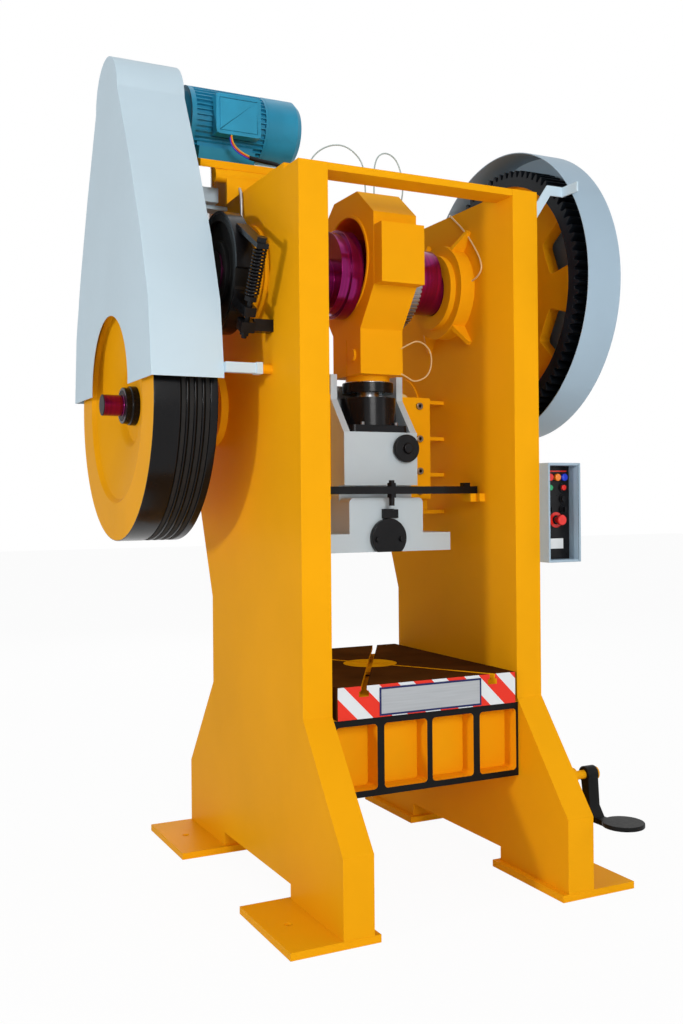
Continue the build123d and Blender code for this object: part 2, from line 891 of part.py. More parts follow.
bolt_y = 560
screw_places = (plate_left + 100, -(frame_half_width + frame_inner) / 2, plate_right - 24)
with BuildPart() as tension_bolts:
    for x in screw_places:
        with Locations((x, bolt_y, press_height + 150)):
            Cylinder(12, 300)
    with Locations(((screw_places[0] + screw_places[2]) / 2, bolt_y, press_height + 120)):
        Box(290, 40, 20)
    with Locations((screw_places[1], bolt_y, press_height + 55)):
        Box(60, 60, 110)
    for x in (screw_places[0], screw_places[2]):
        for z in (press_height + 100, press_height + 140):
            with Locations((x, bolt_y, z)):
                Cylinder(20, 20)
    with BuildSketch(slope.offset(-plate_thickness)):
        with Locations((-450, 900)):
            Rectangle(600, 900)
    extrude(amount=300, mode=Mode.SUBTRACT)
hand("tension_bolts", tension_bolts.part, steel)

# Belt guard: a sheet cover over the belts, open below and towards the frame.
guard_out = -945
guard_in = -677
guard_low = 1866
guard_top = motor_z + 28
guard_shape = ((593, guard_low), (575, 2010), (556, 2150), (467, 2400), (330, 2700), (168, guard_top))


def guard_points(inset):
    """Return the corners of the belt guard, made smaller at both sides by the inset."""
    left = [(pinion_y - half + inset, z) for half, z in reversed(guard_shape)]
    right = [(pinion_y + half - inset, z) for half, z in guard_shape]
    return left + right


with BuildPart() as belt_guard:
    with BuildSketch(Plane.YZ.offset(guard_out)):
        with BuildLine():
            Polyline(*guard_points(0), close=True)
        make_face()
        with Locations((pinion_y, guard_top)):
            Circle(168)
    extrude(amount=guard_in - guard_out)
    with BuildSketch(Plane.YZ.offset(guard_out + sheet)):
        with BuildLine():
            Polyline(*guard_points(sheet), close=True)
        make_face()
        with Locations((pinion_y, guard_top)):
            Circle(168 - sheet)
    extrude(amount=guard_in - guard_out, mode=Mode.SUBTRACT)
    with BuildSketch(Plane.YZ.offset(guard_out)):
        with Locations((pinion_y, 1879)):
            Circle(281)
            Rectangle(562, 400, align=(Align.CENTER, Align.MAX))
    extrude(amount=sheet, mode=Mode.SUBTRACT)
hand("belt_guard", belt_guard.part, pale)

with BuildPart() as gear_guard:
    with BuildSketch(Plane.YZ.offset(630)):
        with Locations((0, crank_z)):
            Circle(598)
        with Locations((pinion_y, pinion_z)):
            Circle(170)
        make_hull()
    extrude(amount=155)
    with BuildSketch(Plane.YZ.offset(630)):
        with Locations((0, crank_z)):
            Circle(598 - sheet)
        with Locations((pinion_y, pinion_z)):
            Circle(170 - sheet)
        make_hull()
    extrude(amount=155 - sheet, mode=Mode.SUBTRACT)
hand("gear_guard", gear_guard.part, pale)

with BuildPart() as guard_supports:
    with Locations((-619.5, -194, 1905.5)):
        Box(115, 30, 37)
    with Locations((-550, -194, 1905.5)):
        Box(24, 44, 42)
    with Locations((-515, 780, 1905.5)):
        Box(30, 460, 37)
    with Locations((-588.5, 995, 1905.5)):
        Box(177, 30, 37)
    with BuildSketch(on_front(0, -446, 0)):
        with BuildLine():
            Polyline((500, 2500), (500, 2560), (552, 2634), (630, 2634), (630, 2596), (566, 2596), close=True)
        make_face()
    extrude(amount=8)
    with Locations((626, -498, 2615)):
        Box(8, 88, 38)
    with Locations((565, pinion_y, pinion_z - 166)):
        Box(130, 40, 16)
hand("guard_supports", guard_supports.part, pale)

# Connecting rod: octagonal big end, neck, front block and the lined bore.
rod_shape = ((101, 2626), (236, 2517), (236, 2241), (121, 2092), (121, 1917))
with BuildPart() as connecting_rod:
    with BuildSketch(Plane.YZ.offset(-rod_half)):
        with BuildLine():
            Polyline(*rod_shape, *[(-y, z) for y, z in reversed(rod_shape)], close=True)
        make_face()
        with Locations((0, pin_z)):
            Circle(rod_bore, mode=Mode.SUBTRACT)
    extrude(amount=2 * rod_half)
    with Locations((0, -267, 2353.5)):
        Box(184, 62, 225)
    for face in (-1, 1):
        with BuildSketch(Plane.YZ.offset(face * rod_half)):
            with Locations((0, pin_z)):
                Circle(lip_radius)
                Circle(rod_bore, mode=Mode.SUBTRACT)
        extrude(amount=face * lip)
    with Locations((0, 0, 1987)):
        Box(2 * rod_half, 4, 150, mode=Mode.SUBTRACT)
    with Locations((0, 0, 1905)):
        Cylinder(88, 24)
    with Locations((0, 0, 1960)):
        Cylinder(58, 140, mode=Mode.SUBTRACT)
    for face in (-1, 1):
        with BuildSketch(Plane.YZ.offset(face * rod_half)):
            with Locations((-61, 1994)):
                Circle(24)
        extrude(amount=face * 10)
hand("connecting_rod", connecting_rod.part, orange)

with BuildPart() as rod_lining:
    with BuildSketch(Plane.YZ.offset(-rod_half)):
        with Locations((0, pin_z)):
            Circle(rod_bore)
            Circle(lining_radius, mode=Mode.SUBTRACT)
    extrude(amount=2 * rod_half)
hand("rod_lining", rod_lining.part, (0.60, 0.06, 0.05))

with BuildPart() as ball_screw:
    with Locations((0, 0, ball_z)):
        Sphere(ball_radius)
    with Locations((0, 0, (ball_z + 1850) / 2)):
        Cylinder(screw_radius, 1850 - ball_z)
    with Locations((0, 0, (1850 + 2025) / 2)):
        Cylinder(58, 2025 - 1850)
hand("ball_screw", ball_screw.part, steel)

with BuildPart() as lock_nut:
    with Locations((0, 0, (1850 + 1893) / 2)):
        Cylinder(104, 43)
        Cylinder(58, 43, mode=Mode.SUBTRACT)
hand("lock_nut", lock_nut.part, dark)

# Slide: lower block with a flange, upper block, two cheeks beside the ball screw and a back wall.
with BuildPart() as slide:
    with Locations((0, 0, (slide_bottom + flange_top) / 2)):
        Box(2 * flange_half, -2 * lower_front, flange_top - slide_bottom)
    with BuildSketch(on_front(0, lower_front, (flange_top - shoulder_radius + slot_low) / 2)):
        RectangleRounded(2 * slide_half, slot_low - flange_top + shoulder_radius, shoulder_radius)
    extrude(amount=-(slide_back - lower_front))
    with Locations((0, (-60 + slide_back) / 2, (slot_low - shoulder_radius + slot_high) / 2)):
        Box(2 * slide_half, slide_back + 60, slot_high - slot_low + shoulder_radius)
    with Locations((0, (upper_front + slide_back) / 2, (slot_high + slide_top) / 2)):
        Box(2 * slide_half, slide_back - upper_front, slide_top - slot_high)
    with Locations((0, (slide_back + wall_back) / 2, (slot_high + wall_top) / 2)):
        Box(2 * slide_half, wall_back - slide_back, wall_top - slot_high)
    for near in (-slide_half, slide_half - 28):
        with BuildSketch(Plane.YZ.offset(near)):
            with BuildLine():
                Polyline(
                    (-105, slide_top),
                    (5, 1828),
                    (5, 1925),
                    (slide_back, 1925),
                    (slide_back, slide_top),
                    close=True,
                )
            make_face()
        extrude(amount=28)
    with Locations((0, (slide_back + wall_front) / 2, (slide_top + wall_top) / 2)):
        Box(2 * (slide_half - 28), wall_front - slide_back, wall_top - slide_top, mode=Mode.SUBTRACT)
    with Locations((0, 0, slide_bottom + shank_depth / 2)):
        Cylinder(shank_radius, shank_depth, mode=Mode.SUBTRACT)
    knob_plane = on_front(105, upper_front, 1629)
    with BuildSketch(knob_plane):
        Circle(10 + running_gap)
    extrude(amount=-40, mode=Mode.SUBTRACT)
hand("slide", slide.part, pale)

with BuildPart() as ball_retainer:
    with BuildSketch(Plane.XY.offset(slide_top)):
        with Locations((0, 4)):
            RectangleRounded(2 * retainer_flange, 216, 24)
    extrude(amount=28)
    with Locations((0, 0, (slide_top + 28 + retainer_top) / 2)):
        Cylinder(retainer_radius, retainer_top - slide_top - 28)
    with Locations((0, 0, ball_z)):
        Sphere(ball_radius + ball_gap, mode=Mode.SUBTRACT)
    with Locations((0, 0, (ball_z + retainer_top) / 2)):
        Cylinder(retainer_mouth, retainer_top - ball_z, mode=Mode.SUBTRACT)
hand("ball_retainer", ball_retainer.part, dark)

cap_z = 1280
cap_depth = 25
with BuildPart() as shank_clamp:
    with BuildSketch(on_front(0, lower_front, cap_z)):
        Circle(75)
        with Locations((0, slide_bottom - cap_z - 40)):
            Rectangle(170, 80, mode=Mode.SUBTRACT)
    extrude(amount=cap_depth)
hand("shank_clamp", shank_clamp.part, dark)

with BuildPart() as slide_bolts:
    with Locations((-74, -95.5), (74, -95.5), (-74, 97), (74, 97)):
        with Locations((0, 0, slide_top + 34)):
            Cylinder(8, 12)
    with BuildSketch(on_front(0, lower_front - cap_depth, cap_z)):
        with Locations((-52, -5), (52, -5)):
            RegularPolygon(12, 6)
    extrude(amount=10)
    with Locations((0, lower_front - 9, cap_z + 94)):
        Box(46, 18, 36)
    with Locations((34, lower_front - 6, cap_z + 93)):
        Box(23, 12, 34)
hand("slide_bolts", slide_bolts.part, steel)

# Fixed knock-out bar in front of the slide.
with BuildPart() as knockout_bar:
    with Locations((0, (bar_front + bar_back) / 2, 1463.5)):
        Box(2 * 380, bar_back - bar_front, 29)
    with Locations((0, (bar_front + bar_back) / 2, 1453)):
        Cylinder(11, 98)
    with BuildSketch(Plane.XY.offset(1478)):
        with Locations((0, (bar_front + bar_back) / 2)):
            RegularPolygon(19, 6)
    extrude(amount=14)
    with BuildSketch(Plane.XY.offset(1435)):
        with Locations((0, (bar_front + bar_back) / 2)):
            RegularPolygon(19, 6)
    extrude(amount=14)
    with Locations((334, (bar_front + bar_back) / 2, 1485)):
        Box(28, 30, 14)
hand("knockout_bar", knockout_bar.part, steel)

with BuildPart() as slide_knob:
    with BuildSketch(on_front(105, upper_front - 4, 1629)):
        Circle(55)
    extrude(amount=20)
    with BuildSketch(on_front(105, upper_front - 24, 1629)):
        Circle(20)
    extrude(amount=14)
    with BuildSketch(on_front(105, upper_front - 4, 1629)):
        Circle(10)
    extrude(amount=-34)
hand("slide_knob", slide_knob.part, dark)

# Control enclosure on the right frame.
box_left = frame_half_width
box_right = box_left + 152
box_front = -512
box_back = -330
box_low = 1183
box_high = 1562
recess = 60
panel_y = box_front + recess
panel_x = box_left + 76
pocket_x = box_left + 74
pocket_z = 1372.5
pocket_width = 132
pocket_height = 359
with BuildPart() as control_enclosure:
    with Locations(((box_left + box_right) / 2, (box_front + box_back) / 2, (box_low + box_high) / 2)):
        Box(box_right - box_left, box_back - box_front, box_high - box_low)
    with Locations((pocket_x, box_front + recess / 2, pocket_z)):
        Box(pocket_width, recess, pocket_height, mode=Mode.SUBTRACT)
hand("control_enclosure", control_enclosure.part, pale)

lamp_z = 1508
button_z = 1468
stop_z = 1344
near_column = panel_x - 31
far_column = panel_x + 32
control_holes = (
    (near_column, button_z, 11),
    (far_column, button_z, 11),
    (near_column, 1424, 11),
    (far_column, 1424, 11),
    (near_column, 1384, 11),
    (far_column, 1384, 11),
    (panel_x, stop_z, 12),
)
with BuildPart() as control_panel:
    with BuildSketch(on_front(pocket_x, panel_y, pocket_z)):
        Rectangle(pocket_width, pocket_height)
    extrude(amount=3)
    for x, z, radius in control_holes:
        with BuildSketch(on_front(x, panel_y - 3, z)):
            Circle(radius + 5)
        extrude(amount=6)
        with BuildSketch(on_front(x, panel_y - 9, z)):
            Circle(radius)
        extrude(amount=-9, mode=Mode.SUBTRACT)
hand("control_panel", control_panel.part, dark)

with BuildPart() as pilot_lamps:
    for x in (near_column, panel_x + 4, panel_x + 36):
        with BuildSketch(on_front(x, panel_y - 3, lamp_z)):
            Circle(14)
        extrude(amount=14)
hand("pilot_lamps", pilot_lamps.part, red)

for label, x, z, colour in (
    ("start_button", near_column, button_z, (0.05, 0.55, 0.15)),
    ("stop_button", far_column, button_z, red),
    ("inch_button", near_column, 1424, dark),
    ("run_button", far_column, 1424, dark),
):
    with BuildPart() as button:
        with BuildSketch(on_front(x, panel_y - 5, z)):
            Circle(11 - 0.3)
        extrude(amount=11)
    hand(label, button.part, colour)

for label, x in (("mode_selector", near_column), ("motor_selector", far_column)):
    with BuildPart() as selector:
        with BuildSketch(on_front(x, panel_y - 1, 1384)):
            Circle(11 - 0.3)
        extrude(amount=11)
        with Locations((x, panel_y - 18, 1384)):
            Box(6, 12, 20)
    hand(label, selector.part, dark)

with BuildPart() as emergency_stop:
    with BuildSketch(on_front(panel_x, panel_y - 7, stop_z)):
        Circle(12 - 0.3)
    extrude(amount=25)
    with BuildSketch(on_front(panel_x, panel_y - 30, stop_z)):
        Circle(20)
    extrude(amount=16)
hand("emergency_stop", emergency_stop.part, red)

# Foot pedal on the right leg.
pedal_y = 135 - leg_reach
pedal_z = 400
with BuildPart() as pedal_bracket:
    with BuildSketch(on_side(frame_half_width, pedal_y, pedal_z)):
        Circle(30)
    extrude(amount=20)
    with BuildSketch(on_side(frame_half_width + 20, pedal_y, pedal_z)):
        Circle(16)
    extrude(amount=96)
    with BuildSketch(on_side(frame_half_width + 116, pedal_y, pedal_z)):
        Circle(24)
    extrude(amount=8)
hand("pedal_bracket", pedal_bracket.part, orange)

with BuildPart() as foot_pedal:
    with BuildSketch(on_side(frame_half_width + 66, pedal_y, pedal_z)):
        Circle(30)
        with BuildLine():
            Polyline(
                (-26, 0),
                (-34, -110),
                (-60, -146),
                (-130, -146),
                (-130, -166),
                (-40, -166),
                (0, -130),
                (20, 0),
                close=True,
            )
        make_face()
        Circle(16 + running_gap, mode=Mode.SUBTRACT)
    extrude(amount=48)
    with BuildSketch(Plane.XY.offset(pedal_z - 146)):
        with Locations((frame_half_width + 90, pedal_y - 190)):
            Circle(75)
    extrude(amount=16)
hand("foot_pedal", foot_pedal.part, dark)

switch_y = 275
with BuildPart() as switch_box:
    with Locations((-frame_half_width - 86, switch_y, press_height + 33)):
        Box(68, 150, 58)
    with Locations((-frame_half_width - 60, switch_y, press_height - 4)):
        Box(120, 70, 16)
hand("switch_box", switch_box.part, pale)
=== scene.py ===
# %% [markdown]
# # A geared mechanical stamping press
# This lesson dresses a finished frame of exact bodies with looks. The bodies come from the packed
# model and already stand in the right place, so every new piece is modelled around them, in metres,
# with X to the right, Y to the back and Z up.

import json
import math

import bmesh
import bpy
from mathutils import Matrix, Vector


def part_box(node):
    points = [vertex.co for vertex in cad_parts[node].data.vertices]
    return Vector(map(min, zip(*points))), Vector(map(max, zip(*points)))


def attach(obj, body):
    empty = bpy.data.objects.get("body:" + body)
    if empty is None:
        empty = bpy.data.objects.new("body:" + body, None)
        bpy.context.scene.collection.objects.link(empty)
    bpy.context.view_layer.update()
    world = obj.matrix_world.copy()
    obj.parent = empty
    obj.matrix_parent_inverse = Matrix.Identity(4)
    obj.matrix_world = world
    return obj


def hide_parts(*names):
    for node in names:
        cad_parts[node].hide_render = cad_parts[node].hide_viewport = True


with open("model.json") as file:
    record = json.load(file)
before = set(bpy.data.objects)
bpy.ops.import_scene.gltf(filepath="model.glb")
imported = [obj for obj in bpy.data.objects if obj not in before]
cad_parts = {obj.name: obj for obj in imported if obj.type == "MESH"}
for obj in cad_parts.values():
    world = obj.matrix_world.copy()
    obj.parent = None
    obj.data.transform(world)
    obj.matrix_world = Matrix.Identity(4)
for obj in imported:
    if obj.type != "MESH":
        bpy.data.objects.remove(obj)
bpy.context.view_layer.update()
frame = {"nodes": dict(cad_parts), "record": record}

# %% [markdown]
# ## The camera
# The press is seen from the front left, a little below its middle, with a normal lens. The camera
# looks almost level, so the uprights stay upright in the picture. A small shift then frames the press,
# as a product photographer does with a view camera. The turn is built from three rotations: roll
# first, then the tilt up from the floor, then the yaw.

# %% Camera
YAW, PITCH, ROLL = 0.4586, 0.0023, -0.0087
CAMERA_PLACE = (-2.01303, -3.82775, 1.42161)
FOCAL_LENGTH = 37.98
SHIFT_X, SHIFT_Y = 0.0005, -0.0126
camera_data = bpy.data.cameras.new("camera")
camera_data.lens = FOCAL_LENGTH
camera_data.shift_x = SHIFT_X
camera_data.shift_y = SHIFT_Y
camera = bpy.data.objects.new("camera", camera_data)
camera.matrix_world = (
    Matrix.Translation(CAMERA_PLACE)
    @ Matrix.Rotation(-YAW, 4, "Z")
    @ Matrix.Rotation(math.pi / 2 + PITCH, 4, "X")
    @ Matrix.Rotation(ROLL, 4, "Z")
)
bpy.context.scene.collection.objects.link(camera)
bpy.context.scene.camera = camera
print("camera stands at", [round(v, 2) for v in camera.matrix_world.translation])

# %% [markdown]
# ## Lamps
# A product shot on white paper: a wide lamp in front lights the faces of the uprights. A small level
# one at the left draws the brake's shadow on the left frame and the left upright's shadow on the inner
# face of the right one, because a smaller lamp makes a sharper shadow edge. Weak wide lamps open the
# darkest sides.

# %% Lamps
scene = bpy.context.scene
scene.view_settings.view_transform = "Standard"


def soft_lamp(name, place, aim, size, power):
    """Add a square area lamp that looks from its place to the point aim; the power is in watts."""
    data = bpy.data.lights.new(name, "AREA")
    data.size = size
    data.energy = power
    lamp = bpy.data.objects.new(name, data)
    lamp.location = place
    lamp.rotation_euler = (Vector(aim) - Vector(place)).to_track_quat("-Z", "Y").to_euler()
    scene.collection.objects.link(lamp)


soft_lamp("front_lamp", (-0.9, -7.2, 3.4), (0, 0, 1.6), 2.6, 248)
soft_lamp("left_lamp", (-6.5, -2.0, 2.15), (0, 0, 1.7), 0.45, 120)
soft_lamp("right_lamp", (5.5, -4.5, 3.0), (0, 0, 1.4), 4.0, 40)
soft_lamp("top_lamp", (0.0, 0.5, 7.5), (0, 0, 1.0), 5.0, 60)
soft_lamp("back_lamp", (2.0, 6.5, 4.0), (0, 0, 1.4), 4.0, 130)

# %% [markdown]
# ## White behind the press
# The white behind the press is only what camera, mirror and glass rays see, so it adds no light to the
# object. The helper asks the Light Path node which kind of ray arrives and mixes white into a shader
# for those kinds alone. It serves the sky and the floor.

# %% Helper for the white


def lift_to_white(tree, lit_shader, kind, share):
    """Mix white into a shader by the given share, for camera, mirror and glass rays alone."""
    white = tree.nodes.new(kind)
    white.inputs["Color"].default_value = (1.0, 1.0, 1.0, 1.0)
    path = tree.nodes.new("ShaderNodeLightPath")
    seen = path.outputs["Is Camera Ray"]
    for other in ("Is Glossy Ray", "Is Transmission Ray"):
        either = tree.nodes.new("ShaderNodeMath")
        either.operation = "MAXIMUM"
        tree.links.new(seen, either.inputs[0])
        tree.links.new(path.outputs[other], either.inputs[1])
        seen = either.outputs[0]
    amount = tree.nodes.new("ShaderNodeMath")
    amount.operation = "MULTIPLY"
    amount.inputs[1].default_value = share
    tree.links.new(seen, amount.inputs[0])
    mix = tree.nodes.new("ShaderNodeMixShader")
    tree.links.new(amount.outputs[0], mix.inputs[0])
    tree.links.new(lit_shader.outputs[0], mix.inputs[1])
    tree.links.new(white.outputs[0], mix.inputs[2])
    return mix


# %% [markdown]
# ## Sky
# The world gives a plain, slightly cool light from all around, as a white room does. It is weak,
# because the lamps do the work, and it turns wholly white where the camera looks past the press.

# %% Sky
SKY_COLOUR, SKY_STRENGTH = (0.84, 0.86, 0.88, 1.0), 0.36
world = bpy.data.worlds.new("studio")
scene.world = world
world.use_nodes = True
sky = world.node_tree.nodes["Background"]
sky.inputs["Color"].default_value = SKY_COLOUR
sky.inputs["Strength"].default_value = SKY_STRENGTH
mixed = lift_to_white(world.node_tree, sky, "ShaderNodeBackground", 1.0)
world.node_tree.links.new(mixed.outputs[0], world.node_tree.nodes["World Output"].inputs["Surface"])
print("sky of strength", SKY_STRENGTH)

# %% [markdown]
# ## Floor
# The floor is real pale paper that is partly lifted to white in the same way, so the object's own
# shadow still lies on it. It lies half a millimetre below the feet, so that the two faces don't fight
# for the same place.

# %% Floor
PAPER_COLOUR, PAPER_LIFT = (0.92, 0.92, 0.92, 1.0), 0.95
bpy.ops.mesh.primitive_plane_add(size=60, location=(0, 0, -0.0005))
floor = bpy.context.object
floor.name = "floor"
paper = bpy.data.materials.new("white_paper")
paper.use_nodes = True
paper_shader = paper.node_tree.nodes["Principled BSDF"]
paper_shader.inputs["Base Color"].default_value = PAPER_COLOUR
paper_shader.inputs["Roughness"].default_value = 0.9
mixed = lift_to_white(paper.node_tree, paper_shader, "ShaderNodeEmission", PAPER_LIFT)
paper.node_tree.links.new(mixed.outputs[0], paper.node_tree.nodes["Material Output"].inputs["Surface"])
floor.data.materials.append(paper)
print("floor of", round(floor.dimensions.x), "m")

# %% [markdown]
# ## Finishes
# A real surface is never one flat colour. Each finish starts from a Principled shader and gets three
# quiet layers: a slow noise that drifts the colour, a finer noise that varies the gloss, and a bump
# at the scale of the real texture, such as the orange peel of brushed enamel or the sand of a casting.
# All of them read Object coordinates, so they stay in place when a piece moves with its body.

# %% Finish helper
COAT_ROUGHNESS = 0.12
GLOSS_SPREAD = 0.08
BUMP_DEPTH = 0.001
MATERIALS = {}


def finish(
    name,
    colour,
    roughness=0.4,
    metallic=0.0,
    drift=0.06,
    drift_scale=3.0,
    grain_scale=60.0,
    bump=0.05,
    coat=0.0,
    shine=0.2,
    stretch=(1.0, 1.0, 1.0),
):
    """Make a layered material: drifting colour, uneven gloss and a fine bump."""
    material = bpy.data.materials.new(name)
    material.use_nodes = True
    tree = material.node_tree
    shader = tree.nodes["Principled BSDF"]
    shader.inputs["Metallic"].default_value = metallic
    shader.inputs["Coat Weight"].default_value = coat
    shader.inputs["Specular IOR Level"].default_value = shine
    shader.inputs["Coat Roughness"].default_value = COAT_ROUGHNESS
    place = tree.nodes.new("ShaderNodeTexCoord")
    scale = tree.nodes.new("ShaderNodeMapping")
    scale.inputs["Scale"].default_value = stretch
    tree.links.new(place.outputs["Object"], scale.inputs["Vector"])

    slow = tree.nodes.new("ShaderNodeTexNoise")
    slow.inputs["Scale"].default_value = drift_scale
    slow.inputs["Detail"].default_value = 4.0
    tree.links.new(scale.outputs["Vector"], slow.inputs["Vector"])
    ramp = tree.nodes.new("ShaderNodeValToRGB")
    dark = [max(0.0, c * (1.0 - drift)) for c in colour]
    light = [min(1.0, c * (1.0 + drift)) for c in colour]
    ramp.color_ramp.elements[0].position = 0.3
    ramp.color_ramp.elements[0].color = (*dark, 1.0)
    ramp.color_ramp.elements[1].position = 0.7
    ramp.color_ramp.elements[1].color = (*light, 1.0)
    tree.links.new(slow.outputs["Fac"], ramp.inputs["Fac"])
    tree.links.new(ramp.outputs["Color"], shader.inputs["Base Color"])

    fine = tree.nodes.new("ShaderNodeTexNoise")
    fine.inputs["Scale"].default_value = grain_scale
    fine.inputs["Detail"].default_value = 6.0
    tree.links.new(scale.outputs["Vector"], fine.inputs["Vector"])
    gloss = tree.nodes.new("ShaderNodeMapRange")
    gloss.inputs["To Min"].default_value = max(0.02, roughness - GLOSS_SPREAD)
    gloss.inputs["To Max"].default_value = min(1.0, roughness + GLOSS_SPREAD)
    tree.links.new(fine.outputs["Fac"], gloss.inputs["Value"])
    tree.links.new(gloss.outputs["Result"], shader.inputs["Roughness"])
    relief = tree.nodes.new("ShaderNodeBump")
    relief.inputs["Strength"].default_value = bump
    relief.inputs["Distance"].default_value = BUMP_DEPTH
    tree.links.new(fine.outputs["Fac"], relief.inputs["Height"])
    tree.links.new(relief.outputs["Normal"], shader.inputs["Normal"])
    MATERIALS[name] = material
    return material


# %% [markdown]
# ## Paints
# The frame wears brushed machine enamel in a warm orange yellow. Guards and slide are a cool pale grey
# and the motor is teal. Enamel on a machine is neither matt nor glossy, so most paints have a middle
# roughness and little shine, and their colour drifts only a few percent.

# %% Paints
enamel = finish("orange_enamel", (0.88, 0.385, 0.005), 0.42, drift=0.05, drift_scale=1.6,
                grain_scale=90, bump=0.04, shine=0.02)
guard_grey = finish("guard_grey", (0.55, 0.68, 0.76), 0.42, drift=0.03, drift_scale=2.0,
                    bump=0.03, shine=0.1)
hood_grey = finish("hood_grey", (0.36, 0.47, 0.56), 0.42, drift=0.04, drift_scale=2.0,
                   bump=0.03, shine=0.1)
slide_grey = finish("slide_grey", (0.52, 0.60, 0.64), 0.38, drift=0.04, drift_scale=4.0,
                    bump=0.03, coat=0.02)
motor_teal = finish("motor_teal", (0.022, 0.27, 0.44), 0.38, drift=0.08, drift_scale=9.0,
                    bump=0.08, coat=0.08)
black_paint = finish("black_paint", (0.006, 0.006, 0.006), 0.45, drift=0.25, drift_scale=9.0,
                     bump=0.05, shine=0.1)
lining_red = finish("lining_red", (0.85, 0.11, 0.006), 0.38, drift=0.15, drift_scale=12,
                    bump=0.06, coat=0.1)
plug_yellow = finish("plug_yellow", (0.74, 0.34, 0.004), 0.80, drift=0.10, drift_scale=14,
                     bump=0.05, shine=0.0)
print(len(MATERIALS), "paints")

# %% [markdown]
# ## Metals
# Bare shafts were dipped in a violet rust film, which lets the turned steel shine through, so that
# finish is a tinted metal. Its noise is squeezed along X, which draws fine rings around the shaft, as a
# lathe does. Blackened steel is almost black and gets its form from a soft gleam. The bolster is oiled
# brown steel whose film hides the metal, so it has no gleam at all.

# %% Metals
turned_steel = finish("turned_steel", (0.30, 0.30, 0.31), 0.30, 1.0, drift=0.12, drift_scale=20,
                      grain_scale=14, bump=0.05, stretch=(22, 1, 1))
bright_steel = finish("bright_steel", (0.55, 0.55, 0.56), 0.28, 1.0, drift=0.10, drift_scale=25,
                      bump=0.04)
violet_film = finish("violet_film", (0.22, 0.004, 0.10), 0.20, 0.85, drift=0.30, drift_scale=3.0,
                     grain_scale=6, bump=0.05, coat=0.2, stretch=(40, 1, 1))
bronze = finish("bronze", (0.62, 0.38, 0.12), 0.35, 1.0, drift=0.12, drift_scale=16, bump=0.06)
bolster_brown = finish("bolster_brown", (0.075, 0.027, 0.006), 0.8, drift=0.25, drift_scale=5.0,
                       grain_scale=35, bump=0.04, shine=0.0)
oiled_black = finish("oiled_black", (0.006, 0.006, 0.007), 0.24, drift=0.4, drift_scale=7.0,
                     bump=0.06, coat=0.08, shine=0.12)
gear_black = finish("gear_black", (0.006, 0.008, 0.011), 0.36, drift=0.4, drift_scale=10,
                    bump=0.08, shine=0.12)
rim_black = finish("rim_black", (0.004, 0.004, 0.005), 0.24, drift=0.2, drift_scale=3,
                   bump=0.03, coat=0.12, shine=0.12)
pulley_grey = finish("pulley_grey", (0.16, 0.165, 0.17), 0.5, 0.6, drift=0.2, drift_scale=14,
                     bump=0.15)
plate_silver = finish("plate_silver", (0.42, 0.44, 0.46), 0.36, 0.7, drift=0.06, drift_scale=6,
                      bump=0.03, stretch=(1, 1, 30))
print(len(MATERIALS), "finishes with the metals")

# %% [markdown]
# ## Rubber and plastics
# Belts are matt rubber. Buttons and lamp lenses are moulded: their colour is even, their skin smooth,
# and a clear coat gives the sharp highlight. They differ only in colour, roughness and coat, so a small
# helper makes all four of them.

# %% Rubber and plastics


def glossy(name, colour, roughness, coat):
    """Make a smooth moulded plastic under a clear coat."""
    return finish(name, colour, roughness, drift=0.06, drift_scale=40, bump=0.01, coat=coat)


belt_rubber = finish("belt_rubber", (0.012, 0.012, 0.012), 0.7, drift=0.25, drift_scale=12, bump=0.15)
black_plastic = finish("black_plastic", (0.008, 0.008, 0.009), 0.3, drift=0.2, drift_scale=30,
                       bump=0.03, shine=0.15)
red_gloss = glossy("red_gloss", (0.75, 0.022, 0.015), 0.25, 0.3)
green_gloss = glossy("green_gloss", (0.01, 0.35, 0.12), 0.25, 0.3)
blue_lens = glossy("blue_lens", (0.02, 0.05, 0.65), 0.2, 0.4)
amber_lens = glossy("amber_lens", (0.90, 0.22, 0.01), 0.2, 0.4)
white_label = finish("white_label", (0.78, 0.80, 0.80), 0.45, drift=0.03, drift_scale=30, bump=0.01)
border_blue = finish("border_blue", (0.012, 0.018, 0.09), 0.4, drift=0.05, drift_scale=30, bump=0.01)
wire_yellow = finish("wire_yellow", (0.85, 0.50, 0.02), 0.4, drift=0.05, drift_scale=40, bump=0.01)
print(len(MATERIALS), "finishes with rubber and plastics")

# %% [markdown]
# ## Hazard stripes
# The bolster's front edge carries slanting red and white bands. Two real bands repeat about every
# 139 mm, so the place along X plus the height is divided by that pitch, and the fraction that is left
# over picks the colour. Adding the height leans the bands like a backslash. A colour mix has its two
# colours at sockets 6 and 7 and its result at output 2.

# %% Stripes
STRIPE_PITCH = 0.139
STRIPE_START = 0.378
RED_FROM = 0.45
hazard = finish("hazard_stripes", (0.75, 0.77, 0.78), 0.42, drift=0.03, bump=0.02, coat=0.1)
tree = hazard.node_tree
shader = tree.nodes["Principled BSDF"]
place = tree.nodes.new("ShaderNodeTexCoord")
parts = tree.nodes.new("ShaderNodeSeparateXYZ")
tree.links.new(place.outputs["Object"], parts.inputs["Vector"])
step = parts.outputs["X"]
for operation, other in (("ADD", parts.outputs["Z"]), ("DIVIDE", STRIPE_PITCH),
                         ("ADD", STRIPE_START), ("FRACT", None), ("GREATER_THAN", RED_FROM)):
    node = tree.nodes.new("ShaderNodeMath")
    node.operation = operation
    tree.links.new(step, node.inputs[0])
    if isinstance(other, float):
        node.inputs[1].default_value = other
    elif other is not None:
        tree.links.new(other, node.inputs[1])
    step = node.outputs[0]
bands = tree.nodes.new("ShaderNodeMix")
bands.data_type = "RGBA"
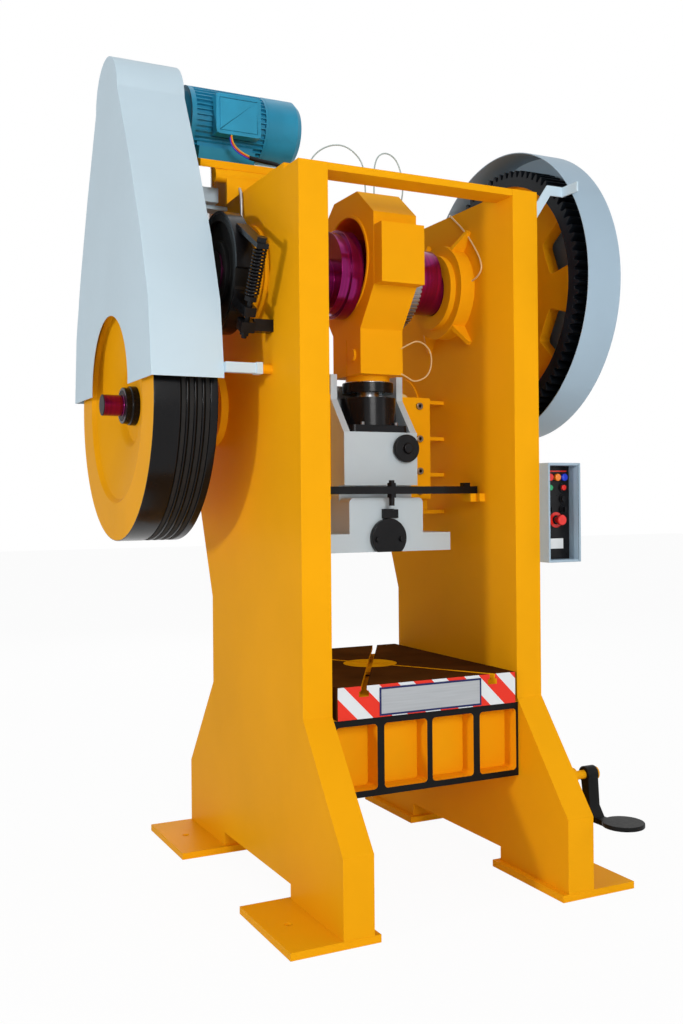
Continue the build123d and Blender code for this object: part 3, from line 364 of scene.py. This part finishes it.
bands.inputs[6].default_value = (0.72, 0.76, 0.78, 1.0)
bands.inputs[7].default_value = (0.78, 0.030, 0.012, 1.0)
tree.links.new(step, bands.inputs[0])
tree.links.new(bands.outputs[2], shader.inputs["Base Color"])
print("stripes every", STRIPE_PITCH, "m")

# %% [markdown]
# ## Paint the bare bodies
# Every body first gets a finish of its own. Those that stay as they are keep it, and those that are
# dressed further down hand it on to the piece that stands for them.

# %% Finish of each body
NODE_FINISH = {
    "left_side_frame": enamel, "right_side_frame": enamel, "foot_plates": enamel,
    "tie_bars": enamel, "bed": enamel, "bolster_plate": bolster_brown,
    "bolster_plug": plug_yellow, "guide_brackets": enamel, "guide_liners": bronze,
    "guide_covers": enamel, "shaft_bushes": bronze, "brake_band": oiled_black,
    "brake_rod": oiled_black, "brake_spring": oiled_black, "drive_belts": belt_rubber,
    "motor_body": motor_teal, "motor_terminal_box": motor_teal, "motor_fan_cover": motor_teal,
    "motor_plate": enamel, "motor_bracket": enamel, "tension_bolts": bright_steel,
    "belt_guard": guard_grey, "gear_guard": hood_grey, "guard_supports": guard_grey,
    "knockout_bar": oiled_black, "control_enclosure": hood_grey, "control_panel": black_plastic,
    "pilot_lamps": amber_lens, "pedal_bracket": enamel, "switch_box": guard_grey,
    "crankshaft": violet_film, "stroke_ring": turned_steel, "brake_drum": black_paint,
    "bull_gear": enamel, "gear_bush": bronze, "pinion_shaft": violet_film,
    "drive_pinion": gear_black, "flywheel": enamel, "flywheel_collars": oiled_black,
    "motor_shaft": bright_steel, "motor_fan": black_plastic, "motor_pulley": pulley_grey,
    "slide": slide_grey, "ball_retainer": oiled_black, "slide_bolts": pulley_grey,
    "shank_clamp": oiled_black, "connecting_rod": enamel, "rod_lining": lining_red,
    "ball_screw": turned_steel, "lock_nut": oiled_black, "slide_knob": black_plastic,
    "start_button": green_gloss, "stop_button": red_gloss, "inch_button": black_plastic,
    "run_button": black_plastic, "mode_selector": black_plastic, "motor_selector": black_plastic,
    "emergency_stop": red_gloss, "foot_pedal": black_paint,
}
for node, material in NODE_FINISH.items():
    for slot in frame["nodes"][node].material_slots:
        slot.material = material
print(len(NODE_FINISH), "bodies painted of", len(frame["nodes"]))

# %% [markdown]
# ## Helpers for selecting
# Every new piece is made as by hand, and an operator works on all that is selected, so each step first
# selects one piece alone, and then in edit mode the faces that a test finds by their centre c and
# normal n. A normal over 0.9 along an axis counts as facing that way. Lengths are given in
# millimetres, because that is how the press is drawn, and turned into metres where a point is made.

# %% Helpers for selecting
MM = 0.001
FACING = 0.9


def select_nothing():
    """Leave edit mode and deselect everything."""
    if bpy.context.object and bpy.context.object.mode != "OBJECT":
        bpy.ops.object.mode_set(mode="OBJECT")
    bpy.ops.object.select_all(action="DESELECT")


def use_only(piece):
    """Leave edit mode and select one piece alone."""
    select_nothing()
    piece.select_set(True)
    bpy.context.view_layer.objects.active = piece


def edit(piece):
    """Select one piece alone and open it in edit mode."""
    use_only(piece)
    bpy.ops.object.mode_set(mode="EDIT")


def pick_faces(piece, test):
    """In edit mode, select only the faces whose centre and normal in the scene pass the test."""
    bpy.ops.mesh.select_mode(type="FACE")
    bpy.ops.mesh.select_all(action="DESELECT")
    mesh = bmesh.from_edit_mesh(piece.data)
    turn = piece.matrix_world.to_3x3()
    for face in mesh.faces:
        face.select_set(test(piece.matrix_world @ face.calc_center_median(), turn @ face.normal))
    bmesh.update_edit_mesh(piece.data)


def paint_where(piece, material, test):
    """Give a further material to the faces of a finished piece that pass the test."""
    piece.data.materials.append(material)
    index = len(piece.data.materials) - 1
    count = 0
    for face in piece.data.polygons:
        if test(face.center, face.normal):
            face.material_index = index
            count += 1
    print(piece.name, "has", count, "faces in", material.name)


# %% [markdown]
# ## Helpers for shaping
# A plate is cut from sheet along its outline, so one vertex is pulled round that outline, the outline
# is filled, and the face is pulled to the plate's depth. A round head or ring starts as a cylinder
# that lies on its side and looks to the front. The box of a body comes in metres, so it is turned
# into millimetres before such a piece is fitted to it.

# %% Helpers for shaping


def in_mm(box):
    """Return the two corners of a box in millimetres."""
    return [[v / MM for v in corner] for corner in box]


def pull_outline(points, direction):
    """Pull one vertex round an outline, fill it and give it depth; points and direction in metres."""
    select_nothing()
    bpy.ops.mesh.primitive_plane_add(size=0.001, location=points[0])
    piece = bpy.context.object
    bpy.ops.object.mode_set(mode="EDIT")
    bpy.ops.mesh.select_mode(type="VERT")
    bpy.ops.mesh.select_all(action="SELECT")
    bpy.ops.mesh.merge(type="CENTER")
    for start, end in zip(points, points[1:]):
        bpy.ops.mesh.extrude_region_move(TRANSFORM_OT_translate={"value": Vector(end) - Vector(start)})
    bpy.ops.mesh.select_all(action="SELECT")
    bpy.ops.mesh.edge_face_add()
    bpy.ops.mesh.extrude_region_move(TRANSFORM_OT_translate={"value": direction})
    bpy.ops.mesh.select_all(action="SELECT")
    bpy.ops.mesh.normals_make_consistent(inside=False)
    bpy.ops.object.mode_set(mode="OBJECT")
    return piece


def front_plate(x_low, x_high, z_low, z_high, y, depth):
    """Make a flat plate that faces the front, from its four edges; everything in millimetres."""
    corners = ((x_low, z_low), (x_high, z_low), (x_high, z_high), (x_low, z_high))
    return pull_outline([(x * MM, y * MM, z * MM) for x, z in corners], (0, -depth * MM, 0))


def front_disc(x, y, z, radius, depth, sides=48):
    """Make a round disc whose back lies at y and that stands out to the front; millimetres."""
    select_nothing()
    bpy.ops.mesh.primitive_cylinder_add(
        vertices=sides,
        radius=radius * MM,
        depth=depth * MM,
        location=(x * MM, (y - depth / 2) * MM, z * MM),
        rotation=(math.pi / 2, 0, 0),
    )
    return bpy.context.object


# %% [markdown]
# ## Helpers for finishing
# A modifier is added, set and applied at once, so the next step works on real mesh. A bevel rounds the
# sharp edges, and weighted normals keep the flat faces flat between them. To settle a piece puts its
# place into its mesh, because a piece that rides on a body sits at the origin, as the body does.

# %% Helpers for finishing
SHARP_ANGLE = 35


def add_modifier(piece, kind, **settings):
    """Add a modifier, set it and apply it."""
    use_only(piece)
    modifier = piece.modifiers.new(kind.lower(), kind)
    for key, value in settings.items():
        setattr(modifier, key, value)
    bpy.ops.object.modifier_apply(modifier=modifier.name)


def round_edges(piece, width, segments=2):
    """Round the sharp edges; the width is in millimetres."""
    add_modifier(piece, "BEVEL", width=width * MM, segments=segments, limit_method="ANGLE",
                 angle_limit=math.radians(SHARP_ANGLE), use_clamp_overlap=True)


def copy_to(piece, offsets):
    """Copy a piece by each offset in millimetres, with its own mesh, and join all of them."""
    copies = []
    for offset in offsets:
        twin = bpy.data.objects.new(piece.name, piece.data.copy())
        twin.matrix_world = Matrix.Translation(Vector(offset) * MM) @ piece.matrix_world
        scene.collection.objects.link(twin)
        copies.append(twin)
    bpy.context.view_layer.update()
    use_only(piece)
    for twin in copies:
        twin.select_set(True)
    bpy.ops.object.join()
    return piece


def settle(piece, name, body, material, smooth=SHARP_ANGLE, replaces=()):
    """Put the piece's place into its mesh, smooth it, name it and let it ride on a body."""
    use_only(piece)
    bpy.ops.object.transform_apply(location=True, rotation=True, scale=True)
    bpy.ops.object.shade_smooth_by_angle(angle=math.radians(smooth))
    add_modifier(piece, "WEIGHTED_NORMAL", keep_sharp=True)
    piece.name = name
    if not piece.data.materials:
        piece.data.materials.append(material)
    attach(piece, body)
    if replaces:
        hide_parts(*replaces)
    return piece


# %% [markdown]
# ## Copies with rounded edges
# Flame-cut and welded plates have small worn edges that catch the light. Where a body already has the
# right shape, its loose triangles are copied, welded, cleaned of flat seams and rounded. The copy then
# stands for the body, which stays hidden and keeps its part in the motion.

# %% Helper for rounded copies
BODIES = frame["record"]["behaviour"]["bodies"]
BODY_OF = {node: body for body, members in BODIES.items() for node in members}


def dress(node, width):
    """Copy one CAD node, weld it, round its edges and let it stand for the node."""
    mesh = frame["nodes"][node].data.copy()
    mesh.materials.clear()
    piece = bpy.data.objects.new(node + "_skin", mesh)
    scene.collection.objects.link(piece)
    edit(piece)
    bpy.ops.mesh.select_mode(type="VERT")
    bpy.ops.mesh.select_all(action="SELECT")
    bpy.ops.mesh.remove_doubles(threshold=0.00002)
    bpy.ops.mesh.dissolve_limited(angle_limit=math.radians(0.5))
    bpy.ops.object.mode_set(mode="OBJECT")
    round_edges(piece, width)
    return settle(piece, piece.name, BODY_OF[node], NODE_FINISH[node], replaces=[node])


# %% [markdown]
# ## How round each edge is
# Each width, in millimetres, is chosen to look like the real edge: a large casting such as the slide is
# rounder than a cut plate, and a head or knob that fingers touch is rounder still.

# %% Rounded copies
EDGE_WIDTH = {
    "left_side_frame": 3.0, "right_side_frame": 3.0, "foot_plates": 1.5, "tie_bars": 1.5,
    "bed": 2.0, "bolster_plate": 1.5, "bolster_plug": 0.8, "guide_brackets": 2.0,
    "guide_covers": 1.5, "connecting_rod": 3.0, "slide": 3.0, "ball_retainer": 3.0,
    "shank_clamp": 5.0, "lock_nut": 3.0, "control_enclosure": 2.5, "slide_knob": 4.0,
    "motor_plate": 1.5, "motor_bracket": 1.5, "motor_terminal_box": 5.0, "belt_guard": 1.2,
    "gear_guard": 1.2, "guard_supports": 1.0, "brake_band": 1.5, "brake_drum": 2.0,
    "flywheel": 3.0, "flywheel_collars": 3.0, "bull_gear": 1.5, "crankshaft": 4.0,
    "pinion_shaft": 3.0, "foot_pedal": 3.0, "pedal_bracket": 2.0, "knockout_bar": 1.5,
    "emergency_stop": 4.0, "start_button": 1.5, "stop_button": 1.5, "pilot_lamps": 3.0,
    "switch_box": 2.0, "stroke_ring": 0.8, "slide_bolts": 1.0,
}
skins = {}
for node, width in EDGE_WIDTH.items():
    skins[node] = dress(node, width)
print(len(skins), "rounded copies")

# %% [markdown]
# ## Wheels and shafts in two colours
# A painter masks one casting and gives it two colours, so the same is done here by place. The flywheel
# and the large gear are orange inside a black rim: the rim's faces lie further from the axis than the
# others, the flat sides of the flywheel stay orange and those of the gear's rim turn black. The violet
# film ends before the pinion shaft's left end face and before the brake's end of the crankshaft, so
# these are black.

# %% Wheels and shafts in two colours
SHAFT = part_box("pinion_shaft")
WHEEL_Y = (SHAFT[0][1] + SHAFT[1][1]) / 2
WHEEL_Z = (SHAFT[0][2] + SHAFT[1][2]) / 2
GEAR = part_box("bull_gear")
GEAR_Z = (GEAR[0][2] + GEAR[1][2]) / 2
WHEEL_RIM_FROM = 0.517
FLAT_SIDE = 0.985
GEAR_RIM_FROM = 0.468
GEAR_RIM_SIDES = ((0.638, 0.643), (0.757, 0.762))
SHAFT_END = SHAFT[0][0] + 0.004
BESIDE_FLYWHEEL = -0.8
BRAKE_END = -0.6


def from_axis(point, y, z):
    """Return how far a point lies from an axis along X."""
    return math.hypot(point.y - y, point.z - z)


def on_gear_rim(c, n):
    """Tell whether a face lies out among the teeth or on a flat side of the rim."""
    on_side = any(low < c.x < high for low, high in GEAR_RIM_SIDES)
    return from_axis(c, 0.0, GEAR_Z) > GEAR_RIM_FROM or (abs(n.x) > FACING and on_side)


paint_where(skins["flywheel"], rim_black,
            lambda c, n: from_axis(c, WHEEL_Y, WHEEL_Z) > WHEEL_RIM_FROM and abs(n.x) < FLAT_SIDE)
paint_where(skins["bull_gear"], gear_black, on_gear_rim)
paint_where(skins["pinion_shaft"], black_paint,
            lambda c, n: c.x < SHAFT_END or (n.x < -FACING and c.x < BESIDE_FLYWHEEL))
paint_where(skins["crankshaft"], black_paint, lambda c, n: c.x < BRAKE_END)

# %% [markdown]
# ## Bed, bolster and brake foot in two colours
# The front edges of the bed's ribs are black. The bolster carries the stripes on its front face and
# shines yellow inside the T-slots: those faces lie below its top and within its four sides. The
# foot of the brake rod is welded to the left frame, so it is one body with it, but blackened.

# %% Bed, bolster and brake foot in two colours
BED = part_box("bed")
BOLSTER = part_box("bolster_plate")
RIBS_WITHIN, RIB_EDGE, LEANING_FRONT = 0.377, 0.004, 0.6
SLOT_TOP, SLOT_FLOOR = BOLSTER[1][2] - 0.0015, BOLSTER[1][2] - 0.045
SIDE_EDGE = 0.002
FOOT_LEFT_OF, FOOT_BEFORE, FOOT_LOW, FOOT_HIGH = -0.516, -0.17, 1.98, 2.25


def in_slot(c, n):
    """Tell whether a face lies inside the bolster's T-slots."""
    within_sides = abs(c.y) < BOLSTER[1][1] - SIDE_EDGE and abs(c.x) < BOLSTER[1][0] - SIDE_EDGE
    return c.z < SLOT_TOP and c.z > SLOT_FLOOR and within_sides


paint_where(skins["bed"], black_paint,
            lambda c, n: n.y < -LEANING_FRONT and c.y < BED[0][1] + RIB_EDGE and abs(c.x) < RIBS_WITHIN)
paint_where(skins["bolster_plate"], plug_yellow, in_slot)
paint_where(skins["bolster_plate"], hazard,
            lambda c, n: n.y < -FACING and c.y < BOLSTER[0][1] + SIDE_EDGE)
paint_where(skins["left_side_frame"], oiled_black,
            lambda c, n: c.x < FOOT_LEFT_OF and c.y < FOOT_BEFORE and FOOT_LOW < c.z < FOOT_HIGH)

# %% [markdown]
# ## Small parts in two colours
# The lock nut's top is bare steel, the knob has an oiled centre, and the lower ones of the slide's
# bolts are blackened. The three lamps are one body in a row, so the outer lens on each side is picked
# by its place along X: red, amber in the middle, and blue.

# %% Small parts in two colours
NUT_TOP_NORMAL = 0.3
KNOB_CENTRE_BEFORE = -0.1345
BLACK_BOLTS_BELOW = 1.5
LENS_WIDTH = 0.029
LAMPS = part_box("pilot_lamps")
paint_where(skins["lock_nut"], bright_steel, lambda c, n: n.z > NUT_TOP_NORMAL)
paint_where(skins["slide_knob"], oiled_black, lambda c, n: c.y < KNOB_CENTRE_BEFORE)
paint_where(skins["slide_bolts"], oiled_black, lambda c, n: c.z < BLACK_BOLTS_BELOW)
paint_where(skins["pilot_lamps"], red_gloss, lambda c, n: c.x < LAMPS[0][0] + LENS_WIDTH)
paint_where(skins["pilot_lamps"], blue_lens, lambda c, n: c.x > LAMPS[1][0] - LENS_WIDTH)

# %% [markdown]
# ## The brake spring
# The brake rod is pulled tight by a coil spring. A circle of wire is set beside the axis and a Screw
# modifier winds it up, one turn for each coil.

# %% Wind the spring
COILS, WIRE, SPRING_LENGTH, SPRING_RADIUS = 14, 3.9, 168, 22
select_nothing()
bpy.ops.mesh.primitive_circle_add(vertices=10, radius=WIRE * MM, location=(SPRING_RADIUS * MM, 0, 0),
                                  rotation=(math.pi / 2, 0, 0))
spring = bpy.context.object
bpy.ops.object.transform_apply(location=True, rotation=True, scale=True)
add_modifier(spring, "SCREW", angle=2 * math.pi, screw_offset=SPRING_LENGTH / COILS * MM,
             iterations=COILS, steps=24, render_steps=24, use_merge_vertices=False)
print("wire wound into", COILS, "coils")

# %% [markdown]
# ## Close the wire and seat the spring
# The screw leaves seams between the turns and an open tube at both ends. The seams are merged, the
# two open rings are the only edges with one face and are filled, and the coil is then turned to lie
# along the leaning rod, with its middle where the plain body has it.

# %% Close and seat the spring
SPRING_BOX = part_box("brake_spring")
rod_direction = Vector((0, 0.503, -0.864)).normalized()
spring_middle = (Vector(SPRING_BOX[0]) + Vector(SPRING_BOX[1])) / 2
edit(spring)
bpy.ops.mesh.select_all(action="SELECT")
bpy.ops.mesh.remove_doubles(threshold=0.00001)
bpy.ops.mesh.select_all(action="DESELECT")
bpy.ops.mesh.select_mode(type="EDGE")
bpy.ops.mesh.select_non_manifold()
bpy.ops.mesh.edge_face_add()
bpy.ops.mesh.select_all(action="SELECT")
bpy.ops.mesh.normals_make_consistent(inside=False)
bpy.ops.object.mode_set(mode="OBJECT")
spring.matrix_world = (
    Matrix.Translation(spring_middle)
    @ rod_direction.to_track_quat("Z", "X").to_matrix().to_4x4()
    @ Matrix.Translation((0, 0, -SPRING_LENGTH / 2 * MM))
)
settle(spring, "spring_coil", "base", oiled_black, smooth=60,
       replaces=["brake_spring"])
print("spring seated at", [round(v, 3) for v in spring_middle])

# %% [markdown]
# ## Terminal box lid
# The motor's terminal box has a pressed lid with a raised field and round corners. The lid is a plate:
# its four short edges are bevelled first, then its front face is inset and pulled forward a little.

# %% Terminal box lid
BOX = in_mm(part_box("motor_terminal_box"))
OVERLAP, LID_BACK, LID_DEPTH = 2, 6, 9
CORNER, FLAT_RIM, FIELD_RISE, FIELD_BORDER = 16, 15, 5, 4
lid = front_plate(BOX[0][0] - OVERLAP, BOX[1][0] + OVERLAP, BOX[0][2] - OVERLAP, BOX[1][2] + OVERLAP,
                  BOX[0][1] + LID_BACK, LID_DEPTH)
edit(lid)
bpy.ops.mesh.select_mode(type="EDGE")
bpy.ops.mesh.select_all(action="DESELECT")
lid_mesh = bmesh.from_edit_mesh(lid.data)
for edge in lid_mesh.edges:
    run = edge.verts[1].co - edge.verts[0].co
    edge.select_set(abs(run.y) > 0.9 * run.length)
bmesh.update_edit_mesh(lid.data)
bpy.ops.mesh.bevel(offset=CORNER * MM, segments=5)
pick_faces(lid, lambda c, n: n.y < -FACING)
bpy.ops.mesh.inset(thickness=FLAT_RIM * MM)
bpy.ops.mesh.extrude_region_move(TRANSFORM_OT_translate={"value": (0, -FIELD_RISE * MM, 0)})
bpy.ops.mesh.inset(thickness=FIELD_BORDER * MM)
bpy.ops.object.mode_set(mode="OBJECT")
round_edges(lid, 2.5, 3)
settle(lid, "terminal_lid", "base", motor_teal)
print("lid spans", [[round(v) for v in corner] for corner in BOX])

# %% [markdown]
# ## Plate on the bolster
# A blank plate with a dark border hangs over the stripes. It is one thin plate whose front face is
# inset; the outer ring keeps the border colour and the middle is brushed metal.

# %% Blank plate
PLATE_LEFT, PLATE_RIGHT, PLATE_LOW, PLATE_HIGH = -208, 219, 664, 764
PLATE_THICKNESS, BORDER = 2, 7
plate_x = (PLATE_LEFT + PLATE_RIGHT) / 2 * MM
plate_z = (PLATE_LOW + PLATE_HIGH) / 2 * MM
plate = front_plate(PLATE_LEFT, PLATE_RIGHT, PLATE_LOW, PLATE_HIGH, BOLSTER[0][1] / MM, PLATE_THICKNESS)
edit(plate)
pick_faces(plate, lambda c, n: n.y < -FACING)
bpy.ops.mesh.inset(thickness=BORDER * MM)
bpy.ops.object.mode_set(mode="OBJECT")
settle(plate, "blank_plate", "base", border_blue)
paint_where(plate, plate_silver,
            lambda c, n: n.y < -FACING and abs(c.x - plate_x) < 0.01 and abs(c.z - plate_z) < 0.01)

# %% [markdown]
# ## Screws
# Socket screws hold the guide covers. A short cylinder gets a round socket by an inset of its front
# face, which is then pushed in; one screw is modelled and copied to the other seats. The bosses in
# which the screws sit are blackened too.

# %% Socket screws
COVER_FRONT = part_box("guide_covers")[0][1] / MM
SCREW_X, SCREW_HEIGHTS = 239, (1462, 1544, 1676, 1810)
HEAD_RADIUS, HEAD_DEPTH, HEAD_BACK = 14, 13, 9.2
SOCKET_WALL, SOCKET_DEPTH = 6.5, 6
BOSS_DEPTH = 8
seats = [(side * SCREW_X, height) for side in (-1, 1) for height in SCREW_HEIGHTS]
screw = front_disc(seats[0][0], COVER_FRONT + HEAD_BACK, seats[0][1], HEAD_RADIUS, HEAD_DEPTH, 28)
edit(screw)
pick_faces(screw, lambda c, n: n.y < -FACING)
bpy.ops.mesh.inset(thickness=SOCKET_WALL * MM)
bpy.ops.mesh.extrude_region_move(TRANSFORM_OT_translate={"value": (0, SOCKET_DEPTH * MM, 0)})
bpy.ops.object.mode_set(mode="OBJECT")
round_edges(screw, 0.8)
screw = copy_to(screw, [(x - seats[0][0], 0, z - seats[0][1]) for x, z in seats[1:]])
settle(screw, "guide_screws", "base", turned_steel)
paint_where(skins["guide_covers"], oiled_black, lambda c, n: c.y < (COVER_FRONT + BOSS_DEPTH) * MM)
print(len(seats), "screws")

# %% [markdown]
# ## Controls
# The sunk panel has a thin red strip above the lamps and a blank label below. Each is a thin plate
# that stands on the panel's own front face.

# %% Strip and label
PANEL = in_mm(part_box("control_panel"))
PANEL_SHEET = 3
STRIP_LOW, STRIP_HIGH, STRIP_MARGIN = 1529, 1534, 12
LABEL_LOW, LABEL_HIGH, LABEL_LEFT, LABEL_RIGHT = 1233, 1272, 18, 30
panel_front = PANEL[1][1] - PANEL_SHEET
strip = front_plate(PANEL[0][0] + STRIP_MARGIN, PANEL[1][0] - STRIP_MARGIN, STRIP_LOW, STRIP_HIGH,
                    panel_front, 1)
settle(strip, "red_strip", "base", red_gloss)
label = front_plate(PANEL[0][0] + LABEL_LEFT, PANEL[1][0] - LABEL_RIGHT, LABEL_LOW, LABEL_HIGH,
                    panel_front, 1)
settle(label, "blank_label", "base", white_label)
print("panel front at", round(panel_front, 1))

# %% [markdown]
# ## Ring behind the stop button
# A wide red ring lies behind the emergency button. It starts as a disc; both faces are inset and the
# two inner faces are bridged, which opens the hole and gives it a wall.

# %% Stop ring
STOP = in_mm(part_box("emergency_stop"))
RING_RADIUS, RING_DEPTH, RING_WIDTH = 30, 3, 12.5
stop_x = (STOP[0][0] + STOP[1][0]) / 2
stop_z = (STOP[0][2] + STOP[1][2]) / 2
ring = front_disc(stop_x, panel_front, stop_z, RING_RADIUS, RING_DEPTH)
edit(ring)
pick_faces(ring, lambda c, n: abs(n.y) > FACING)
bpy.ops.mesh.inset(thickness=RING_WIDTH * MM)
bpy.ops.mesh.bridge_edge_loops()
bpy.ops.object.mode_set(mode="OBJECT")
round_edges(ring, 0.8)
settle(ring, "stop_ring", "base", red_gloss)
print("ring round", round(stop_x), round(stop_z))

# %% [markdown]
# ## Painted shade of the door gap
# The enclosure's door leaves a dark upright line near its right edge, which is the shade inside the
# gap. A real gap would cut the body, so a black strip as thin as paint lies on the front face instead
# and paints that shade.

# %% Door gap
ENCLOSURE = in_mm(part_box("control_enclosure"))
GAP_LEFT, GAP_RIGHT, GAP_MARGIN = 12, 10.5, 4
gap_low, gap_high = ENCLOSURE[0][2] + GAP_MARGIN, ENCLOSURE[1][2] - GAP_MARGIN
gap = front_plate(ENCLOSURE[1][0] - GAP_LEFT, ENCLOSURE[1][0] - GAP_RIGHT, gap_low, gap_high,
                  ENCLOSURE[0][1] + 0.4, 0.6)
# the black strip is painted shade, standing for the shadow inside the door gap
settle(gap, "door_gap_shade", "base", black_plastic)
print("door gap", round(gap_high - gap_low), "mm tall")

# %% [markdown]
# ## Smooth lines along a route
# Pipes and leads are both a spline with a round section. The spline is drawn bare first, so that its
# own length can be added up from its points, and gets its thickness only afterwards.

# %% Helper for lines


def bend_line(name, route, thickness, material):
    """Draw one open smooth curve along a route in millimetres; return it with its own length in metres."""
    curve = bpy.data.curves.new(name, "CURVE")
    curve.dimensions = "3D"
    curve.resolution_u = 8
    spline = curve.splines.new("NURBS")
    spline.points.add(len(route) - 1)
    for point, (x, y, z) in zip(spline.points, route):
        point.co = (x * MM, y * MM, z * MM, 1.0)
    spline.order_u = 3
    spline.use_endpoint_u = True
    line = bpy.data.objects.new(name, curve)
    scene.collection.objects.link(line)
    bpy.context.view_layer.update()
    bare = bpy.data.meshes.new_from_object(line.evaluated_get(bpy.context.evaluated_depsgraph_get()))
    ends = [[bare.vertices[i].co for i in edge.vertices] for edge in bare.edges]
    length = sum((end - start).length for start, end in ends)
    curve.bevel_depth = thickness * MM / 2
    curve.bevel_resolution = 3
    curve.use_fill_caps = True
    curve.materials.append(material)
    return line, length


# %% [markdown]
# ## Oil pipes
# Thin bent pipes carry oil to the rod, the ball seat and both bearings. A pipe keeps the shape that it
# was bent to, so it is a piece that rides on the body that it is screwed to. The points are those of
# the pipe's own bends, and each end goes into the casting. Each row gives the body, the finish, the
# thickness in millimetres and the bends.

# %% Oil pipes
pipe_clear = finish("pipe_clear", (0.40, 0.48, 0.46), 0.3, drift=0.03, drift_scale=30, bump=0.01, coat=0.2)
pipe_cream = finish("pipe_cream", (0.72, 0.50, 0.22), 0.35, drift=0.05, drift_scale=30, bump=0.01, coat=0.1)
PIPES = (
    ("oil_pipe_left", "rod", pipe_clear, 6,
     [(-2, 0, 2618), (-2, 0, 2690), (-15, 0, 2790), (-110, 0, 2845), (-225, 0, 2795),
      (-262, 40, 2690), (-215, 120, 2560), (-150, 170, 2505), (-88, 170, 2505)]),
    ("oil_pipe_right", "rod", pipe_clear, 6,
     [(37, 0, 2618), (36, 0, 2700), (42, 0, 2800), (90, 0, 2835), (150, 0, 2805),
      (176, 0, 2690), (170, 40, 2605), (120, 60, 2594), (88, 60, 2594)]),
    ("oil_pipe_ball_seat", "rod", pipe_cream, 6,
     [(86, -119, 2021), (120, -119, 2040), (170, -119, 2062), (230, -119, 2020),
      (222, -119, 1925), (150, -119, 1890), (112, -119, 1912), (86, -119, 1923)]),
    ("oil_pipe_right_bearing", "base", pipe_cream, 7,
     [(376, -138, 2298), (376, -200, 2296), (384, -250, 2330), (384, -240, 2375), (384, -205, 2425),
      (384, -130, 2512), (384, -40, 2585), (388, -4, 2610), (402, 10, 2601)]),
    ("oil_pipe_left_bearing", "base", plate_silver, 12,
     [(-496, 168, 2688), (-506, 110, 2655), (-508, 66, 2618), (-508, 62, 2560), (-508, 62, 2486)]),
)
for name, body, material, thickness, route in PIPES:
    pipe, length = bend_line(name, route, thickness, material)
    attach(pipe, body)
    print(name, "is", round(length, 3), "m long")

# %% [markdown]
# ## Motor leads
# Three coloured leads leave the gland under the terminal box and run into a black sleeve, which drops
# behind the motor's plate to the frame. They are soft; each is drawn as a curve that rides on the
# base, and its length is printed.
# The three leads share one route and lie side by side, so each is shifted across it.

# %% Motor leads
ACROSS_X, ACROSS_Z = 0.6, 0.8
LEAD = [(-488, 225, 2884), (-488, 224, 2862), (-470, 222, 2834), (-437, 222, 2815), (-408, 222, 2806)]
SLEEVE = [(-412, 222, 2807), (-385, 222, 2803), (-350, 222, 2799), (-303, 224, 2797), (-262, 232, 2790),
          (-250, 262, 2750), (-275, 300, 2690), (-330, 328, 2640), (-380, 340, 2612), (-396, 344, 2605)]
CORDS = [
    ("lead_red", 0, 5, red_gloss, LEAD),
    ("lead_yellow", 6, 5, wire_yellow, LEAD),
    ("lead_blue", -6, 5, blue_lens, LEAD),
    ("lead_sleeve", 0, 17, black_plastic, SLEEVE),
]
for name, shift, thickness, material, route in CORDS:
    moved = [(x + shift * ACROSS_X, y, z + shift * ACROSS_Z) for x, y, z in route]
    cord, length = bend_line(name, moved, thickness, material)
    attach(cord, "base")
    print(name, "is", round(length, 3), "m long")
